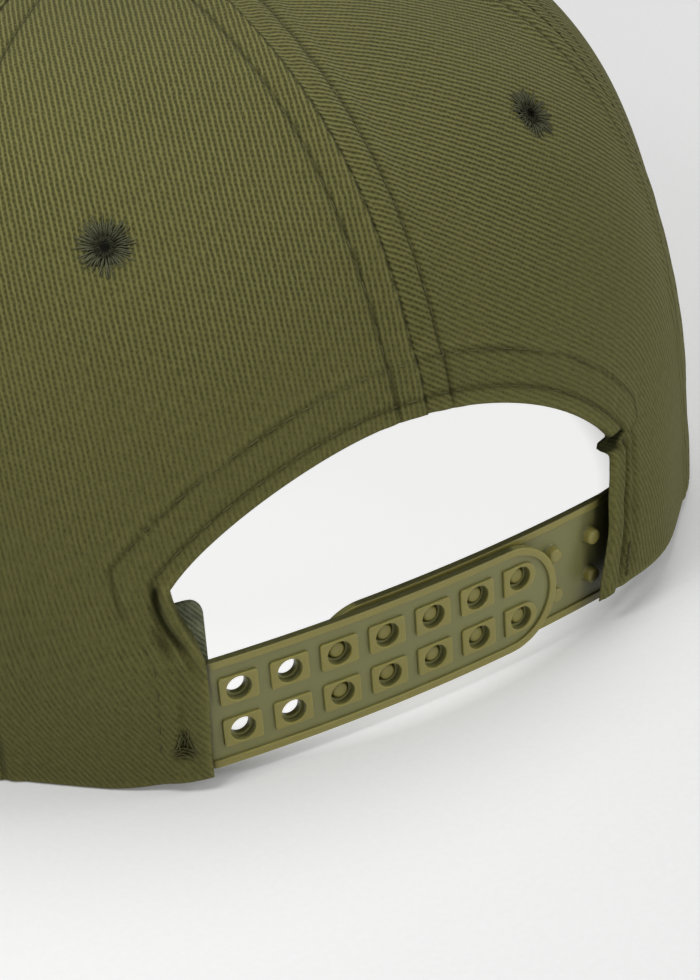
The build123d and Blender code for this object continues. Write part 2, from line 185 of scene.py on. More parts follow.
def lifted(azimuth, length, height):
    """Points a height above the crown's plain face."""
    return crown_face(azimuth, length) + crown_normal(azimuth, length) * np.asarray(height)[..., None]


def local_radius(azimuth, length):
    return plan_radius(azimuth) * scale_at(length)


def visor_height(x):
    """Top of the visor above x, at its root."""
    edge_sag = VISOR_BEND_RADIUS - math.sqrt(VISOR_BEND_RADIUS**2 - VISOR_HALF_WIDTH**2)
    sag = VISOR_BEND_RADIUS - np.sqrt(VISOR_BEND_RADIUS**2 - np.square(x))
    return VISOR_FLOOR_GAP + VISOR_STACK + edge_sag - sag


def base_height(azimuth):
    """The crown's edge: on the ground at the back and sides, on the visor in front."""
    turn = np.abs(np.degrees(azimuth))
    turn = np.minimum(turn, 360 - turn)
    rise = smooth(turn, FRONT_SEAM - 37, FRONT_SEAM)
    front = rise * (visor_height(plan_radius(azimuth) * np.sin(azimuth)) + 0.3)
    leftward = np.where(np.sin(azimuth) > 0, 1, -1)
    for side, (height, start, end) in TAB_RISE.items():
        front = front + height * (leftward == SIDES[side]) * (1 - smooth(turn, start, end))
    return front


# ---- back opening ----------------------------------------------------------------------

def even_slopes(place, height):
    """Slopes at which a curve through the points bends evenly from end to end."""
    step, rise = np.diff(place), np.diff(height)
    slope = np.gradient(height, place, edge_order=2)
    beside = np.diag(1 / step[1:-1], 1)
    matrix = np.diag(2 / step[:-1] + 2 / step[1:]) + beside + beside.T
    target = 3 * (rise[:-1] / step[:-1] ** 2 + rise[1:] / step[1:] ** 2)
    target[0] -= slope[0] / step[0]
    target[-1] -= slope[-1] / step[-1]
    slope[1:-1] = np.linalg.solve(matrix, target)
    return slope


def through(points, value, even=False):
    """A smooth curve through a few (place, height) points."""
    place, height = (np.array(column, float) for column in zip(*points))
    slope = even_slopes(place, height) if even else np.gradient(height, place)
    value = np.clip(value, place[0], place[-1])
    span = np.clip(np.searchsorted(place, value, side="right") - 1, 0, len(place) - 2)
    width = place[span + 1] - place[span]
    share = (value - place[span]) / width
    rise = height[span + 1] - height[span]
    bend_in, bend_out = slope[span] * width - rise, slope[span + 1] * width - rise
    curve = share * (1 - share) * (bend_in * (1 - share) - bend_out * share)
    return height[span] + share * rise + curve


def tab_x(side, z):
    """The x of a tab's edge at a height."""
    return through(TABS[side], z)


def opening_distance(x, z):
    """Distance outside the back opening's outline, negative within it."""
    arch = np.hypot(x - ARCH_CENTRE_X, z - ARCH_CENTRE_Z) - ARCH_RADIUS
    arch = np.where(z > ARCH_CENTRE_Z, arch, -ARCH_RADIUS)
    left, right = (SIDES[side] * (x - tab_x(side, z)) * TAB_SLANT[side] for side in SIDES)
    return np.maximum(np.maximum(arch, left), right)


def azimuth_at_x(x, length):
    """Azimuth of the crown's face where its X has this value, by repeated correction."""
    x, length = np.broadcast_arrays(np.asarray(x, float), np.asarray(length, float))
    azimuth = np.arcsin(np.clip(x / HALF_WIDTH, -1, 1))
    for _ in range(12):
        error = crown_face(azimuth, length)[..., 0] - x
        azimuth = azimuth - error / (local_radius(azimuth, length) * np.cos(azimuth))
    return azimuth


def arch_length(azimuth):
    """Wall length at which a meridian of the crown meets the arch."""
    low = np.full_like(azimuth, 15.0)
    high = np.full_like(azimuth, 80.0)
    for _ in range(40):
        middle = (low + high) / 2
        point = crown_face(azimuth, middle)
        outside = np.hypot(point[..., 0] - ARCH_CENTRE_X, point[..., 2] - ARCH_CENTRE_Z) > ARCH_RADIUS
        low, high = np.where(outside, low, middle), np.where(outside, middle, high)
    return (low + high) / 2


# ---- relief of the sewn fabric ---------------------------------------------------------

def panel_seams(name, side):
    ends = {"back": (0, BACK_SEAM), "side": (BACK_SEAM, FRONT_SEAM), "front": (FRONT_SEAM, 180)}
    low, high = ends[name]
    return (low, high) if side == "left" else (-high, -low)


def seam_relief(distance, length, proud):
    """Height beside a seam: an allowance under the cloth, a sewn row, and the edge itself."""
    plateau = 0.30 * (1 - smooth(distance, SEAM_ROW + 1.6, SEAM_ROW + 3.4))
    puff = 0.14 * bump(distance, 2.7, 1.4)
    groove = -0.30 * bump(distance, SEAM_ROW, 0.42)
    pucker = 0.07 * np.sin(length / 1.25 + 2 * proud) * bump(distance, SEAM_ROW, 2.4)
    needle = 0.10 * np.sin(length * 2.1) * bump(distance, 0.6, 0.7)
    edge = 0.34 * proud * (1 - smooth(distance, 1.2, 3.2))
    return plateau + puff + groove + pucker + needle + edge


def hem_relief(distance, along):
    """A turned edge, sewn down with two rows."""
    doubled = 0.42 * (1 - smooth(distance, HEM_WIDTH - 0.5, HEM_WIDTH + 0.9))
    grooves = -0.24 * (bump(distance, HEM_ROWS[0], 0.40) + 0.7 * bump(distance, HEM_ROWS[1], 0.42))
    pucker = 0.07 * np.sin(along * 1.15) * bump(distance, 4.6, 2.6)
    return doubled + grooves + pucker


def soft_waves(azimuth, length, slack):
    """The slow unevenness of soft cloth with nothing behind it."""
    across = azimuth * 92
    waves = np.sin(across / 13.1 + length / 31 + 0.6) * np.sin(length / 17.3 + 1.1)
    waves = waves + 0.6 * np.sin(across / 7.7 - length / 12.9 + 2.1)
    return slack * waves * smooth(length, 4, 30) * (1 - smooth(length, 110, 140))


def left_tab_relief(distance, z):
    """The hem's rolled strip, a soft upright valley, and the pit under the tack of thread."""
    strip_width = 0.6 + 2.1 * bump(z, 29.0, 7.0)
    strip_zone = smooth(z, 19.5, 24) * (1 - smooth(z, 34, 36.5))
    strip = 1.05 * bump(distance, strip_width / 2, 1.0) - 1.5 * bump(distance, strip_width + 0.5, 0.65)
    low = 1 - smooth(z, 26, 31)
    valley = -1.05 * bump(distance, 4.6 + 0.5 * np.sin(z / 3.1), 1.0) * smooth(z, 10, 15) * low
    row = -0.16 * bump(distance, 8.0, 0.45) * low * smooth(z, 3, 6)
    folds = 0.12 * np.sin(z / 1.9 + distance * 1.1) * bump(distance, 6.0, 1.6) * bump(z, 18, 6)
    over_strap = 1.4 * (1 - smooth(distance, 3, 9)) * (1 - smooth(z, 22.5, 26))
    pit = np.hypot((distance - 4.2) / (0.55 + 0.20 * (12.5 - z).clip(0, 5.5)), (z - 8.0) / 3.4)
    pucker = -2.4 * np.exp(-pit**2) + 0.30 * bump(np.abs(distance - 4.2), 2.4, 0.7) * bump(z, 8.0, 3.0)
    return strip_zone * strip + valley + row + folds + over_strap + pucker


def right_tab_relief(distance, z):
    """A folded strip that stands proud along the edge, with two upright valleys behind it."""
    low = 1 - smooth(z, 30.5, 33.0)
    width = 3.3 + 0.9 * smooth(z, 10, 28)
    strip = 0.75 * (1 - smooth(distance, width - 1.0, width + 0.4))
    crease = -0.95 * bump(distance, width + 0.9 + 0.30 * np.sin(z / 4.3), 0.95) * smooth(z, 4, 12)
    second = -0.45 * bump(distance, width + 3.6 + 0.5 * np.sin(z / 5.7 + 1), 1.0) * smooth(z, 4, 12)
    wrinkles = 0.10 * np.sin(z / 1.5 + distance / 1.4) * bump(distance, width + 2.4, 2.6)
    notch = -2.6 * bump(z, 32.1, 0.8) * (1 - smooth(distance, 2.2, 4.2))
    return low * (strip + crease + second + wrinkles) + notch


def eyelet_centre(name, side):
    azimuth, height = EYELETS[name]
    return math.radians(azimuth * SIDES[side]), float(length_at(height))


def eyelet_distance(name, side, points):
    return np.linalg.norm(points - crown_face(*eyelet_centre(name, side)), axis=-1)


def seam_distances(name, side, azimuth, length):
    low, high = (math.radians(a) for a in panel_seams(name, side))
    radius = local_radius(azimuth, length)
    return (azimuth - low) * radius, (high - azimuth) * radius


def proud_edges(name, side):
    """How far each of a panel's seam edges stands proud: the left back panel laps over the right."""
    if name == "back":
        return (1, 0.3) if side == "left" else (0.3, -1)
    return 0.3, 0.3


def fold_share(distance, half=0.8):
    """1 in the cloth, falling in a quarter circle to its folded edge."""
    gap = np.clip(1 - distance / half, 0, 1)
    return np.sqrt(np.maximum(1 - gap * gap, 0.02))


def opening_hem(distance, x, z):
    """Height of the hem round the back opening, full over the arch and faint along the tabs."""
    hemmed = np.where(distance < 16, hem_relief(distance, x * 0.9 + z * 0.5), 0)
    return hemmed * (0.25 + 0.75 * smooth(z, 27, 34))


def tab_shape(side, distance, z):
    """Height that a tab's folds add, fading out into the panel."""
    relief = left_tab_relief if side == "left" else right_tab_relief
    return relief(distance, z) * (1 - smooth(distance, 16, 22))


def opening_painted_shade(side, distance, z, shape):
    """Painted shade in the hem's sewn rows and in a tab's valleys, and a painted shadow at the right tab's
    corner notch and along the left tab's rolled edge.
    """
    rows = sum(0.7 * bump(distance, row, 0.36) for row in HEM_ROWS) * smooth(z, 27, 34)
    valleys = 0.8 * np.clip(-shape - 0.15, 0, 1.2)
    # painted shadow in the right tab's notch, and along the left strip's edge
    if side == "right":
        return rows + valleys + 2.0 * bump(z, 32.1, 0.9) * (1 - smooth(distance, 2.2, 3.8))
    return rows + valleys + 1.3 * bump(distance, 0.0, 0.7) * bump(z, 29.5, 5.0)


def seam_painted_shade(low_distance, high_distance, length):
    """Painted shade in the sewn rows beside a panel's seams, and a painted shadow along each seam where it
    draws the cloth in.
    """
    rows = 0.9 * (bump(low_distance, SEAM_ROW, 0.36) + bump(high_distance, SEAM_ROW, 0.36))
    seam_line_shadow = 1.4 * (1 + 0.45 * np.sin(length * 2.1))
    return rows + seam_line_shadow * (1 - smooth(np.minimum(low_distance, high_distance), 0.0, 0.9))


def panel_layers(name, side, azimuth, length):
    """Heights of a panel's two faces over the crown's plain surface, and a colour mark: above 0 wear at its
    folded edges, below 0 painted shade where the cloth is sunk.
    """
    points = crown_face(azimuth, length)
    x, z = points[..., 0], points[..., 2]
    low_distance, high_distance = seam_distances(name, side, azimuth, length)
    low_proud, high_proud = proud_edges(name, side)
    outer = seam_relief(low_distance, length, low_proud) + seam_relief(high_distance, length, high_proud)
    outer = outer + soft_waves(azimuth, length, 0.14 if name == "front" else 0.40)
    outer = outer - 0.60 * np.exp(-((eyelet_distance(name, side, points) / 3.6) ** 2))
    # painted shade: it darkens the twill's colour and moves no surface
    painted_shade = seam_painted_shade(low_distance, high_distance, length)
    above_foot = z - base_height(azimuth)
    hem = 1 - smooth(above_foot, 7, 9)
    edge = np.minimum(np.minimum(low_distance, high_distance) + 0.15, above_foot)
    if name == "back":
        distance = opening_distance(x, z)
        shape = tab_shape(side, distance, z)
        outer = outer + opening_hem(distance, x, z)
        outer = outer + shape
        painted_shade = painted_shade + opening_painted_shade(side, distance, z, shape)
        edge = np.minimum(edge, distance)
        hem = np.maximum(hem, 1 - smooth(distance, HEM_WIDTH, HEM_WIDTH + 1))
    inner = 0.75 * outer - FABRIC - 0.45 * hem
    middle, half = (outer + inner) / 2, (outer - inner) / 2
    fold = fold_share(edge)
    return middle + half * fold, middle - half * fold, 0.6 * bump(edge, 0.35, 0.8) - painted_shade


def fabric_line(name, side, azimuth, length, lift=0.0):
    """Points lift millimetres over a panel's outer face, and the directions away from it."""
    height = panel_layers(name, side, azimuth, length)[0] + lift
    return lifted(azimuth, length, height), crown_normal(azimuth, length)


# ---- meshes ----------------------------------------------------------------------------

def float_attribute(mesh, name, values):
    values = np.asarray(values, np.float32)
    mesh.attributes.new(name, "FLOAT", "POINT").data.foreach_set("value", values)


def linked(name, data):
    """A new object in the scene."""
    obj = bpy.data.objects.new(name, data)
    bpy.context.scene.collection.objects.link(obj)
    return obj


def mesh_object(name, points, faces, uv=None, wear_and_painted_shade=None):
    """An object from points in millimetres. uv is each point's place on the cloth, in millimetres."""
    mesh = bpy.data.meshes.new(name)
    mesh.from_pydata((np.asarray(points) * MM).tolist(), [], [list(map(int, f)) for f in faces])
    if uv is not None:
        layer = mesh.uv_layers.new(name="cloth")
        loops = np.zeros(len(mesh.loops), np.int32)
        mesh.loops.foreach_get("vertex_index", loops)
        layer.data.foreach_set("uv", np.asarray(uv, np.float32)[loops].ravel())
    if wear_and_painted_shade is not None:
        float_attribute(mesh, "wear_and_painted_shade", wear_and_painted_shade)
    work = bmesh.new()
    work.from_mesh(mesh)
    bmesh.ops.recalc_face_normals(work, faces=work.faces)
    for face in work.faces:
        face.smooth = True
    work.to_mesh(mesh)
    work.free()
    return linked(name, mesh)


def grid_faces(columns, rows, start=0, wrap=False):
    """Quads of a grid whose points run row by row within each column."""
    index = start + np.arange(columns * rows).reshape(columns, rows)
    if wrap:
        index = np.vstack([index, index[:1]])
    corners = [index[:-1, :-1], index[1:, :-1], index[1:, 1:], index[:-1, 1:]]
    return np.stack([c.ravel() for c in corners], 1)


def shell_object(name, outer, inner, quads, uv, wear_and_painted_shade=None):
    """A closed sheet: an outer face, an inner one with the same quads, and walls between their edges."""
    outer, inner, uv = outer.reshape(-1, 3), inner.reshape(-1, 3), uv.reshape(-1, 2)
    wear_and_painted_shade = np.zeros(len(outer)) if wear_and_painted_shade is None else wear_and_painted_shade.ravel()
    used, quads = np.unique(quads, return_inverse=True)
    quads, count = quads.reshape(-1, 4), len(used)
    edges = np.concatenate([quads[:, [i, (i + 1) % 4]] for i in range(4)])
    _, first, repeats = np.unique(np.sort(edges, 1), axis=0, return_index=True, return_counts=True)
    rim = edges[first[repeats == 1]]
    walls = np.stack([rim[:, 1], rim[:, 0], rim[:, 0] + count, rim[:, 1] + count], 1)
    faces = np.concatenate([quads, quads[:, ::-1] + count, walls])
    points = np.concatenate([outer[used], inner[used]])
    return mesh_object(name, points, faces, np.tile(uv[used], (2, 1)), np.tile(wear_and_painted_shade[used], 2))


def dress(obj, material, body, slot, *nodes):
    """Give a piece its material and its body, and hide the CAD nodes it stands for. slot is not used."""
    obj.data.materials.clear()
    obj.data.materials.append(material)
    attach(obj, body)
    if nodes:
        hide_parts(*nodes)
    return obj


# ---- panels ----------------------------------------------------------------------------

SEAM_ZONE = 9.0
SEAM_STEP, WALL_STEP, PANEL_STEP = 0.5, 1.15, 1.9
FOLD_STEPS = (0, 0.08, 0.22, 0.42, 0.7, 1.05, 1.45, 1.9)


def folded(offsets):
    """Adds the fine steps that round a folded edge at the start of a row of offsets."""
    return np.concatenate([FOLD_STEPS, offsets[offsets > FOLD_STEPS[-1] + 0.2]])


def seam_columns(width):
    """Offsets across a panel, fine beside both of its seams."""
    half = folded(graded(width, SEAM_ZONE, SEAM_STEP, PANEL_STEP))
    half = half[half < width / 2]
    return np.concatenate([half, (width - half)[::-1]])


def seam_span(name, side):
    """A panel's low seam in radians, its span, and its mean plan radius."""
    low, high = (math.radians(a) for a in panel_seams(name, side))
    return low, high - low, float(plan_radius(np.linspace(low, high, 41)).mean())


def azimuths(name, side, offsets, full, lengths):
    low, span, radius = seam_span(name, side)
    width = span * radius * scale_at(lengths.ravel())
    columns = np.repeat(np.arange(len(offsets)), lengths.shape[1])
    zone = np.minimum(SEAM_ZONE, 0.45 * width)
    offset = offsets[columns]
    share = (offset - SEAM_ZONE) / (full - 2 * SEAM_ZONE)
    place = zone + share * (width - 2 * zone)
    place = np.where(offset < SEAM_ZONE, offset / SEAM_ZONE * zone, place)
    place = np.where(offset > full - SEAM_ZONE, width - (full - offset) / SEAM_ZONE * zone, place)
    return (low + span * place / width).reshape(lengths.shape)


def wall_rows(height):
    """Offsets up the wall, with a folded edge at the foot."""
    return folded(graded(height, 9.0, 0.6, WALL_STEP, both=False))


def plain_grid(name, side):
    """Azimuth and wall length over a panel from its foot to the crown's top."""
    low, span, radius = seam_span(name, side)
    full = span * radius
    offsets = seam_columns(full)
    foot = length_at(base_height(low + span * offsets / full))
    rows = wall_rows(TOP_LENGTH) / TOP_LENGTH
    lengths = foot[:, None] + (TOP_LENGTH - foot)[:, None] * rows[None, :]
    return azimuths(name, side, offsets, full, lengths), lengths


def back_columns(name, side):
    """Offsets across a back panel: fine at both seams and about the tab's edge."""
    _, span, radius = seam_span(name, side)
    full = span * radius
    corner_z, corner_x = TABS[side][-1]
    corner = float(azimuth_at_x(corner_x, length_at(corner_z)))
    at_corner = abs(corner) * radius
    over_arch = folded(graded(at_corner, SEAM_ZONE, SEAM_STEP, 1.3, both=False))[:-1]
    over_tab = at_corner + folded(graded(full - at_corner, 11.0, SEAM_STEP, PANEL_STEP, both=False))
    near_seam = seam_columns(full)
    seam_side = full - near_seam[near_seam < SEAM_ZONE]
    over_tab = np.concatenate([over_tab[over_tab < seam_side.min() - 0.4], seam_side[::-1]])
    return np.concatenate([over_arch, over_tab]), len(over_arch), full


def back_grids(name, side):
    """Two grids that share a row: over the arch, and beside the opening down to the foot."""
    offsets, corner_column, full = back_columns(name, side)
    corner_z = TABS[side][-1][0]
    corner_length = float(length_at(corner_z))

    def located(lengths):
        if side == "left":
            return azimuths(name, side, offsets, full, lengths)
        return azimuths(name, side, full - offsets[::-1], full, lengths[::-1])[::-1]

    foot = np.full(len(offsets), corner_length)
    for _ in range(4):
        at_foot = located(foot[:, None])[:, 0]
        foot = np.where(np.arange(len(offsets)) < corner_column, arch_length(at_foot), corner_length)
    rows = wall_rows(TOP_LENGTH - corner_length) / (TOP_LENGTH - corner_length)
    upper_length = foot[:, None] + (TOP_LENGTH - foot)[:, None] * rows[None, :]
    upper = located(upper_length)
    tab_offsets = offsets[corner_column:] - offsets[corner_column]
    down = folded(graded(corner_length, 6.0, 0.45, 0.8))
    base = upper[corner_column:, 0]
    edge = azimuth_at_x(tab_x(side, height_at(down)), down)
    shift = (edge - base[0])[None, :] * (1 - smooth(tab_offsets, 12, 34))[:, None]
    lower = base[:, None] + shift
    lower[:, -1] = base
    foot = length_at(base_height(lower[:, :1]))
    lower_length = foot + (corner_length - foot) * down[None, :] / corner_length
    return (upper, upper_length), (lower, lower_length), corner_column


def cloth_place(azimuth, length, middle, grain=(45, 45)):
    """Place on the flat cloth, in millimetres: across its ribs, and along them."""
    across = -(azimuth - middle) * local_radius(azimuth, length)
    step = 0.5
    run = np.arange(-5, TOP_LENGTH + 5, step)
    high, low = np.radians(grain)
    turn = low + (high - low) * smooth(run, 10, 52)
    over = np.interp(length, run, np.cumsum(np.sin(turn)) * step)
    along = np.interp(length, run, np.cumsum(np.cos(turn)) * step)
    at = np.interp(length, run, turn)
    return np.stack([across * np.cos(at) + over, along - across * np.sin(at)], -1)


def panel_surface(name, side):
    """A panel's azimuths, wall lengths and quads."""
    if name != "back":
        azimuth, length = plain_grid(name, side)
        return azimuth.ravel(), length.ravel(), grid_faces(*azimuth.shape)
    (upper, upper_length), (lower, lower_length), corner = back_grids(name, side)
    upper_quads = grid_faces(*upper.shape)
    lower_quads = grid_faces(*lower.shape, start=upper.size)
    top_row = upper.size + np.arange(lower.shape[0]) * lower.shape[1] + lower.shape[1] - 1
    same = (corner + np.arange(lower.shape[0])) * upper.shape[1]
    weld = np.arange(upper.size + lower.size)
    weld[top_row] = same
    quads = np.concatenate([upper_quads, weld[lower_quads]])
    azimuth = np.concatenate([upper.ravel(), lower.ravel()])
    length = np.concatenate([upper_length.ravel(), lower_length.ravel()])
    return azimuth, length, quads


def make_panel(name, side):
    azimuth, length, quads = panel_surface(name, side)
    middle = math.radians(sum(panel_seams(name, side)) / 2)
    cloth = cloth_place(azimuth, length, middle, GRAIN[name, side])
    far = eyelet_distance(name, side, crown_face(azimuth, length))
    quads = quads[far[quads].mean(1) > PANEL_HOLE]
    outer, inner, wear_and_painted_shade = panel_layers(name, side, azimuth, length)
    outer, inner = lifted(azimuth, length, outer), lifted(azimuth, length, inner)
    return shell_object(f"panel_{name}_{side}", outer, inner, quads, cloth, wear_and_painted_shade)


# ---- thread ----------------------------------------------------------------------------

def ring_quads(index):
    """Quads between neighbouring closed rings of points, from their indices in rows."""
    after = np.roll(index, -1, axis=-1)
    corners = [index[..., :-1, :], after[..., :-1, :], after[..., 1:, :], index[..., 1:, :]]
    return np.stack(corners, -1).reshape(-1, 4)


def tubes(name, paths, normals, radii, sides=6, flatten=1.0):
    """Many short tubes in one mesh. paths is (tubes, points, 3); radii is one value for each point."""
    along = np.gradient(paths, axis=1)
    along /= np.linalg.norm(along, axis=-1, keepdims=True)
    across = np.cross(along, normals)
    across /= np.linalg.norm(across, axis=-1, keepdims=True)
    upward = np.cross(across, along)
    turn = np.arange(sides) / sides * 2 * math.pi
    ring = (across[:, :, None] * np.cos(turn)[:, None] + upward[:, :, None] * np.sin(turn)[:, None] * flatten)
    points = paths[:, :, None] + ring * radii[..., None, None]
    count, steps = paths.shape[:2]
    index = np.arange(count * steps * sides).reshape(count, steps, sides)
    caps = index[:, 0, ::-1].tolist() + index[:, -1].tolist()
    return mesh_object(name, points.reshape(-1, 3), ring_quads(index).tolist() + caps)


def stitches(points, normals, pitch=STITCH_PITCH, length=STITCH_LENGTH, start=0.0):
    """Paths of the visible threads along a sewn row, each one dipping into the cloth at its ends."""
    step = np.linalg.norm(np.diff(points, axis=0), axis=1)
    reach = np.concatenate([[0], np.cumsum(step)])
    count = int((reach[-1] - start) / pitch)
    share = np.linspace(0, 1, 7)
    drift = rng.uniform(-0.12, 0.12, (count, 1))
    place = start + (np.arange(count)[:, None] + drift) * pitch + share * length
    at = np.stack([np.interp(place, reach, points[:, k]) for k in range(3)], -1)
    up = np.stack([np.interp(place, reach, normals[:, k]) for k in range(3)], -1)
    rise = 0.10 - 0.42 * np.abs(2 * share - 1) ** 3
    return at + up * rise[:, None], up


def thread_piece(name, rows, radius=THREAD_RADIUS):
    """One piece of thread for several sewn rows, each row given as (points, normals)."""
    made = [stitches(points, normals, start=0.4 + 0.37 * (k % 4)) for k, (points, normals) in enumerate(rows)]
    paths, ups = (np.concatenate(part) for part in zip(*made))
    share = np.linspace(-1, 1, paths.shape[1])
    radii = radius * np.sqrt(1.06 - share**4)
    return tubes(name, paths, ups, np.broadcast_to(radii, paths.shape[:2]), flatten=0.8)


def sew(name, rows, material, radius=THREAD_RADIUS):
    dress(thread_piece(f"thread_{name}", rows, radius), material, "cap", "thread")


def seam_rows(azimuth_deg, left_panel, right_panel, foot=1.5):
    """The two rows beside a seam. left_panel has the greater azimuths."""
    seam = math.radians(azimuth_deg)
    rows = []
    for panel, sign in ((left_panel, 1), (right_panel, -1)):
        start = float(length_at(base_height(seam))) + foot
        length = np.arange(start, TOP_LENGTH - 5.0, 0.8)
        azimuth = seam + sign * SEAM_ROW / local_radius(seam, length)
        rows.append(fabric_line(*panel, azimuth, length))
    return rows


def arch_at(side, distance, top_margin=0.0):
    """Azimuth and wall length along the arch, distance outside its edge, from the middle to a tab."""
    corner_z, corner_x = TABS[side][-1]
    end = math.atan2(corner_x - ARCH_CENTRE_X, corner_z - ARCH_CENTRE_Z)
    middle = math.atan2(-ARCH_CENTRE_X, ARCH_RADIUS)
    turn = middle + (end - middle) * np.linspace(top_margin, 1.0, 90)
    radius = ARCH_RADIUS + distance
    length = length_at(ARCH_CENTRE_Z + radius * np.cos(turn))
    return azimuth_at_x(ARCH_CENTRE_X + radius * np.sin(turn), length), length


def tab_place(side, distance, z):
    """Azimuth and wall length beside a tab's edge."""
    length = length_at(z)
    return azimuth_at_x(tab_x(side, z) + SIDES[side] * distance / ROW_SLANT, length), length


def add_crown_threads(material):
    seams = {
        "back_seam": (0, ("back", "left"), ("back", "right"), ARCH_TOP + 1.0),
        "back_left_seam": (BACK_SEAM, ("side", "left"), ("back", "left"), 1.5),
        "back_right_seam": (-BACK_SEAM, ("back", "right"), ("side", "right"), 1.5),
        "front_left_seam": (FRONT_SEAM, ("front", "left"), ("side", "left"), 1.5),
        "front_right_seam": (-FRONT_SEAM, ("side", "right"), ("front", "right"), 1.5),
    }
    for name, (seam, left_panel, right_panel, foot) in seams.items():
        sew(name, seam_rows(seam, left_panel, right_panel, foot), material)
    front = seam_rows(180, ("front", "left"), ("front", "left"))[1:]
    front += seam_rows(-180, ("front", "right"), ("front", "right"))[:1]
    sew("front_seam", front, material)
    rows = []
    for side in SIDES:
        for distance in HEM_ROWS:
            rows.append(fabric_line("back", side, *arch_at(side, distance, 0.02)))
    rows.append(fabric_line("back", "left", *tab_place("left", 8.0, np.linspace(27.0, 4.0, 60))))
    sew("arch", rows, material)


# ---- eyelets and bars of thread --------------------------------------------------------

EYELET_THREADS = 104


def around(name, side, radius, turn, lift, inside=False):
    """A point beside an eyelet's centre, lift above the cloth, or below it on the inside."""
    azimuth, length = eyelet_centre(name, side)
    azimuth = azimuth - radius * np.cos(turn) / local_radius(azimuth, length)
    length = length + radius * np.sin(turn)
    outer, inner, _ = panel_layers(name, side, azimuth, length)
    return lifted(azimuth, length, inner - lift if inside else outer + lift)


def eyelet_threads(name, side, inside):
    """Radial satin threads, of uneven length, that dive into the hole."""
    turn = (np.arange(EYELET_THREADS) + rng.uniform(-0.32, 0.32, EYELET_THREADS)) / EYELET_THREADS
    turn = turn[:, None] * 2 * math.pi
    reach = EYELET_RADIUS - (0.6 if inside else 0) + rng.uniform(-1.5, 0.75, (EYELET_THREADS, 1))
    share = np.linspace(0, 1, 9)[None, :]
    start = EYELET_HOLE - 0.1 + rng.uniform(-0.25, 0.2, (EYELET_THREADS, 1))
    radius = start + (reach - start) * share
    lift = 0.10 - 1.15 * (1 - smooth(share, -0.1, 0.55)) - 0.34 * smooth(share, 0.80, 1.0)
    lift = lift + 0.10 * np.sin(math.pi * share) + rng.uniform(-0.16, 0.16, (EYELET_THREADS, 1))
    turn = turn + rng.uniform(-0.14, 0.14, (EYELET_THREADS, 1)) * share
    points = around(name, side, radius, turn, lift, inside)
    return points, np.broadcast_to(crown_normal(*eyelet_centre(name, side)), points.shape)


def eyelet_backing(name, side):
    """The worked edge under the threads: rings on each face, joined through the hole."""
    turn = np.arange(48) / 48 * 2 * math.pi
    radii = np.array([3.7, 3.2, 2.5, 1.7, EYELET_HOLE])
    sink = 0.16 + 1.55 * (1 - smooth(radii, EYELET_HOLE, 3.0))
    outer = [around(name, side, np.full(48, r), turn, np.full(48, -d)) for r, d in zip(radii, sink)]
    inner = [around(name, side, np.full(48, r), turn, np.full(48, -0.04), True) for r in radii[::-1]]
    rings = np.array(outer + inner)
    index = np.arange(len(rings) * 48).reshape(-1, 48)
    return mesh_object("backing", rings.reshape(-1, 3), ring_quads(np.vstack([index, index[:1]])))


def make_eyelet(name, side):
    share = np.linspace(0, 1, 9)
    paths, normals = zip(*(eyelet_threads(name, side, inside) for inside in (False, True)))
    paths, normals = np.concatenate(paths), np.concatenate(normals)
    radii = (0.060 + 0.060 * np.sin(math.pi * share)) * np.sqrt(1.04 - (2 * share - 1) ** 8)
    ring = tubes(f"eyelet_{name}_{side}", paths, normals, np.broadcast_to(radii, paths.shape[:2]), 5, 0.8)
    piece = joined(ring, eyelet_backing(name, side))
    centre = crown_face(*eyelet_centre(name, side)) * MM
    away = np.array([np.linalg.norm(np.array(v.co) - centre) for v in piece.data.vertices]) / MM
    # painted shade, darkest at the hole
    float_attribute(piece.data, "painted_eyelet_shade", 1 - smooth(away, EYELET_HOLE, 0.72 * EYELET_RADIUS))
    return piece


def joined(first, *others):
    """One object of several meshes."""
    work = bmesh.new()
    for obj in (first, *others):
        work.from_mesh(obj.data)
    work.to_mesh(first.data)
    work.free()
    for obj in others:
        bpy.data.objects.remove(obj)
    return first


def strands(side, start, end, bridge):
    """Threads laid over a tab between (distance from its edge, height) points, lifted in the middle."""
    share = np.linspace(0, 1, 11)[:, None]
    along = np.asarray(start, float)[:, None] + (np.asarray(end, float) - start)[:, None] * share
    azimuth, length = tab_place(side, along[..., 0], along[..., 1])
    lift = 0.10 + bridge * np.sin(math.pi * share[:, 0]) - 0.55 * np.abs(2 * share[:, 0] - 1) ** 5
    return fabric_line("back", side, azimuth, length, lift)


def make_bartack(side):
    """The tack that holds a tab to its strap: a drawn-in triangle of thread, or a close upright bar."""
    if side == "left":
        foot = np.stack([np.linspace(2.6, 6.2, 7), 7.2 + rng.uniform(-1.3, 1.0, 7)], 1)
        apex = np.stack([4.6 + rng.uniform(-1.0, 0.9, 7), 12.4 + rng.uniform(-1.8, 1.2, 7)], 1)
        low = 6.9 + rng.uniform(-1.2, 1.4, (2, 5))
        ends = [np.stack([at + rng.uniform(-0.5, 0.5, 5), height], 1) for at, height in zip((2.4, 6.2), low)]
        laid = [strands(side, apex, foot, 0.35), strands(side, *ends, 0.3)]
    else:
        z = np.linspace(7.4, 13.0, 15)
        half = rng.uniform(0.30, 0.60, (2, 15))
        slant = rng.uniform(-0.35, 0.35, 15)
        start, end = np.stack([6.4 - half[0], z - slant], 1), np.stack([6.4 + half[1], z + slant], 1)
        laid = [strands(side, start, end, 0.0)]
    points, normals = (np.concatenate(part) for part in zip(*laid))
    return tubes(f"bartack_{side}", points, normals, np.full(points.shape[:2], 0.13), 6)


# ---- inner pieces ----------------------------------------------------------------------

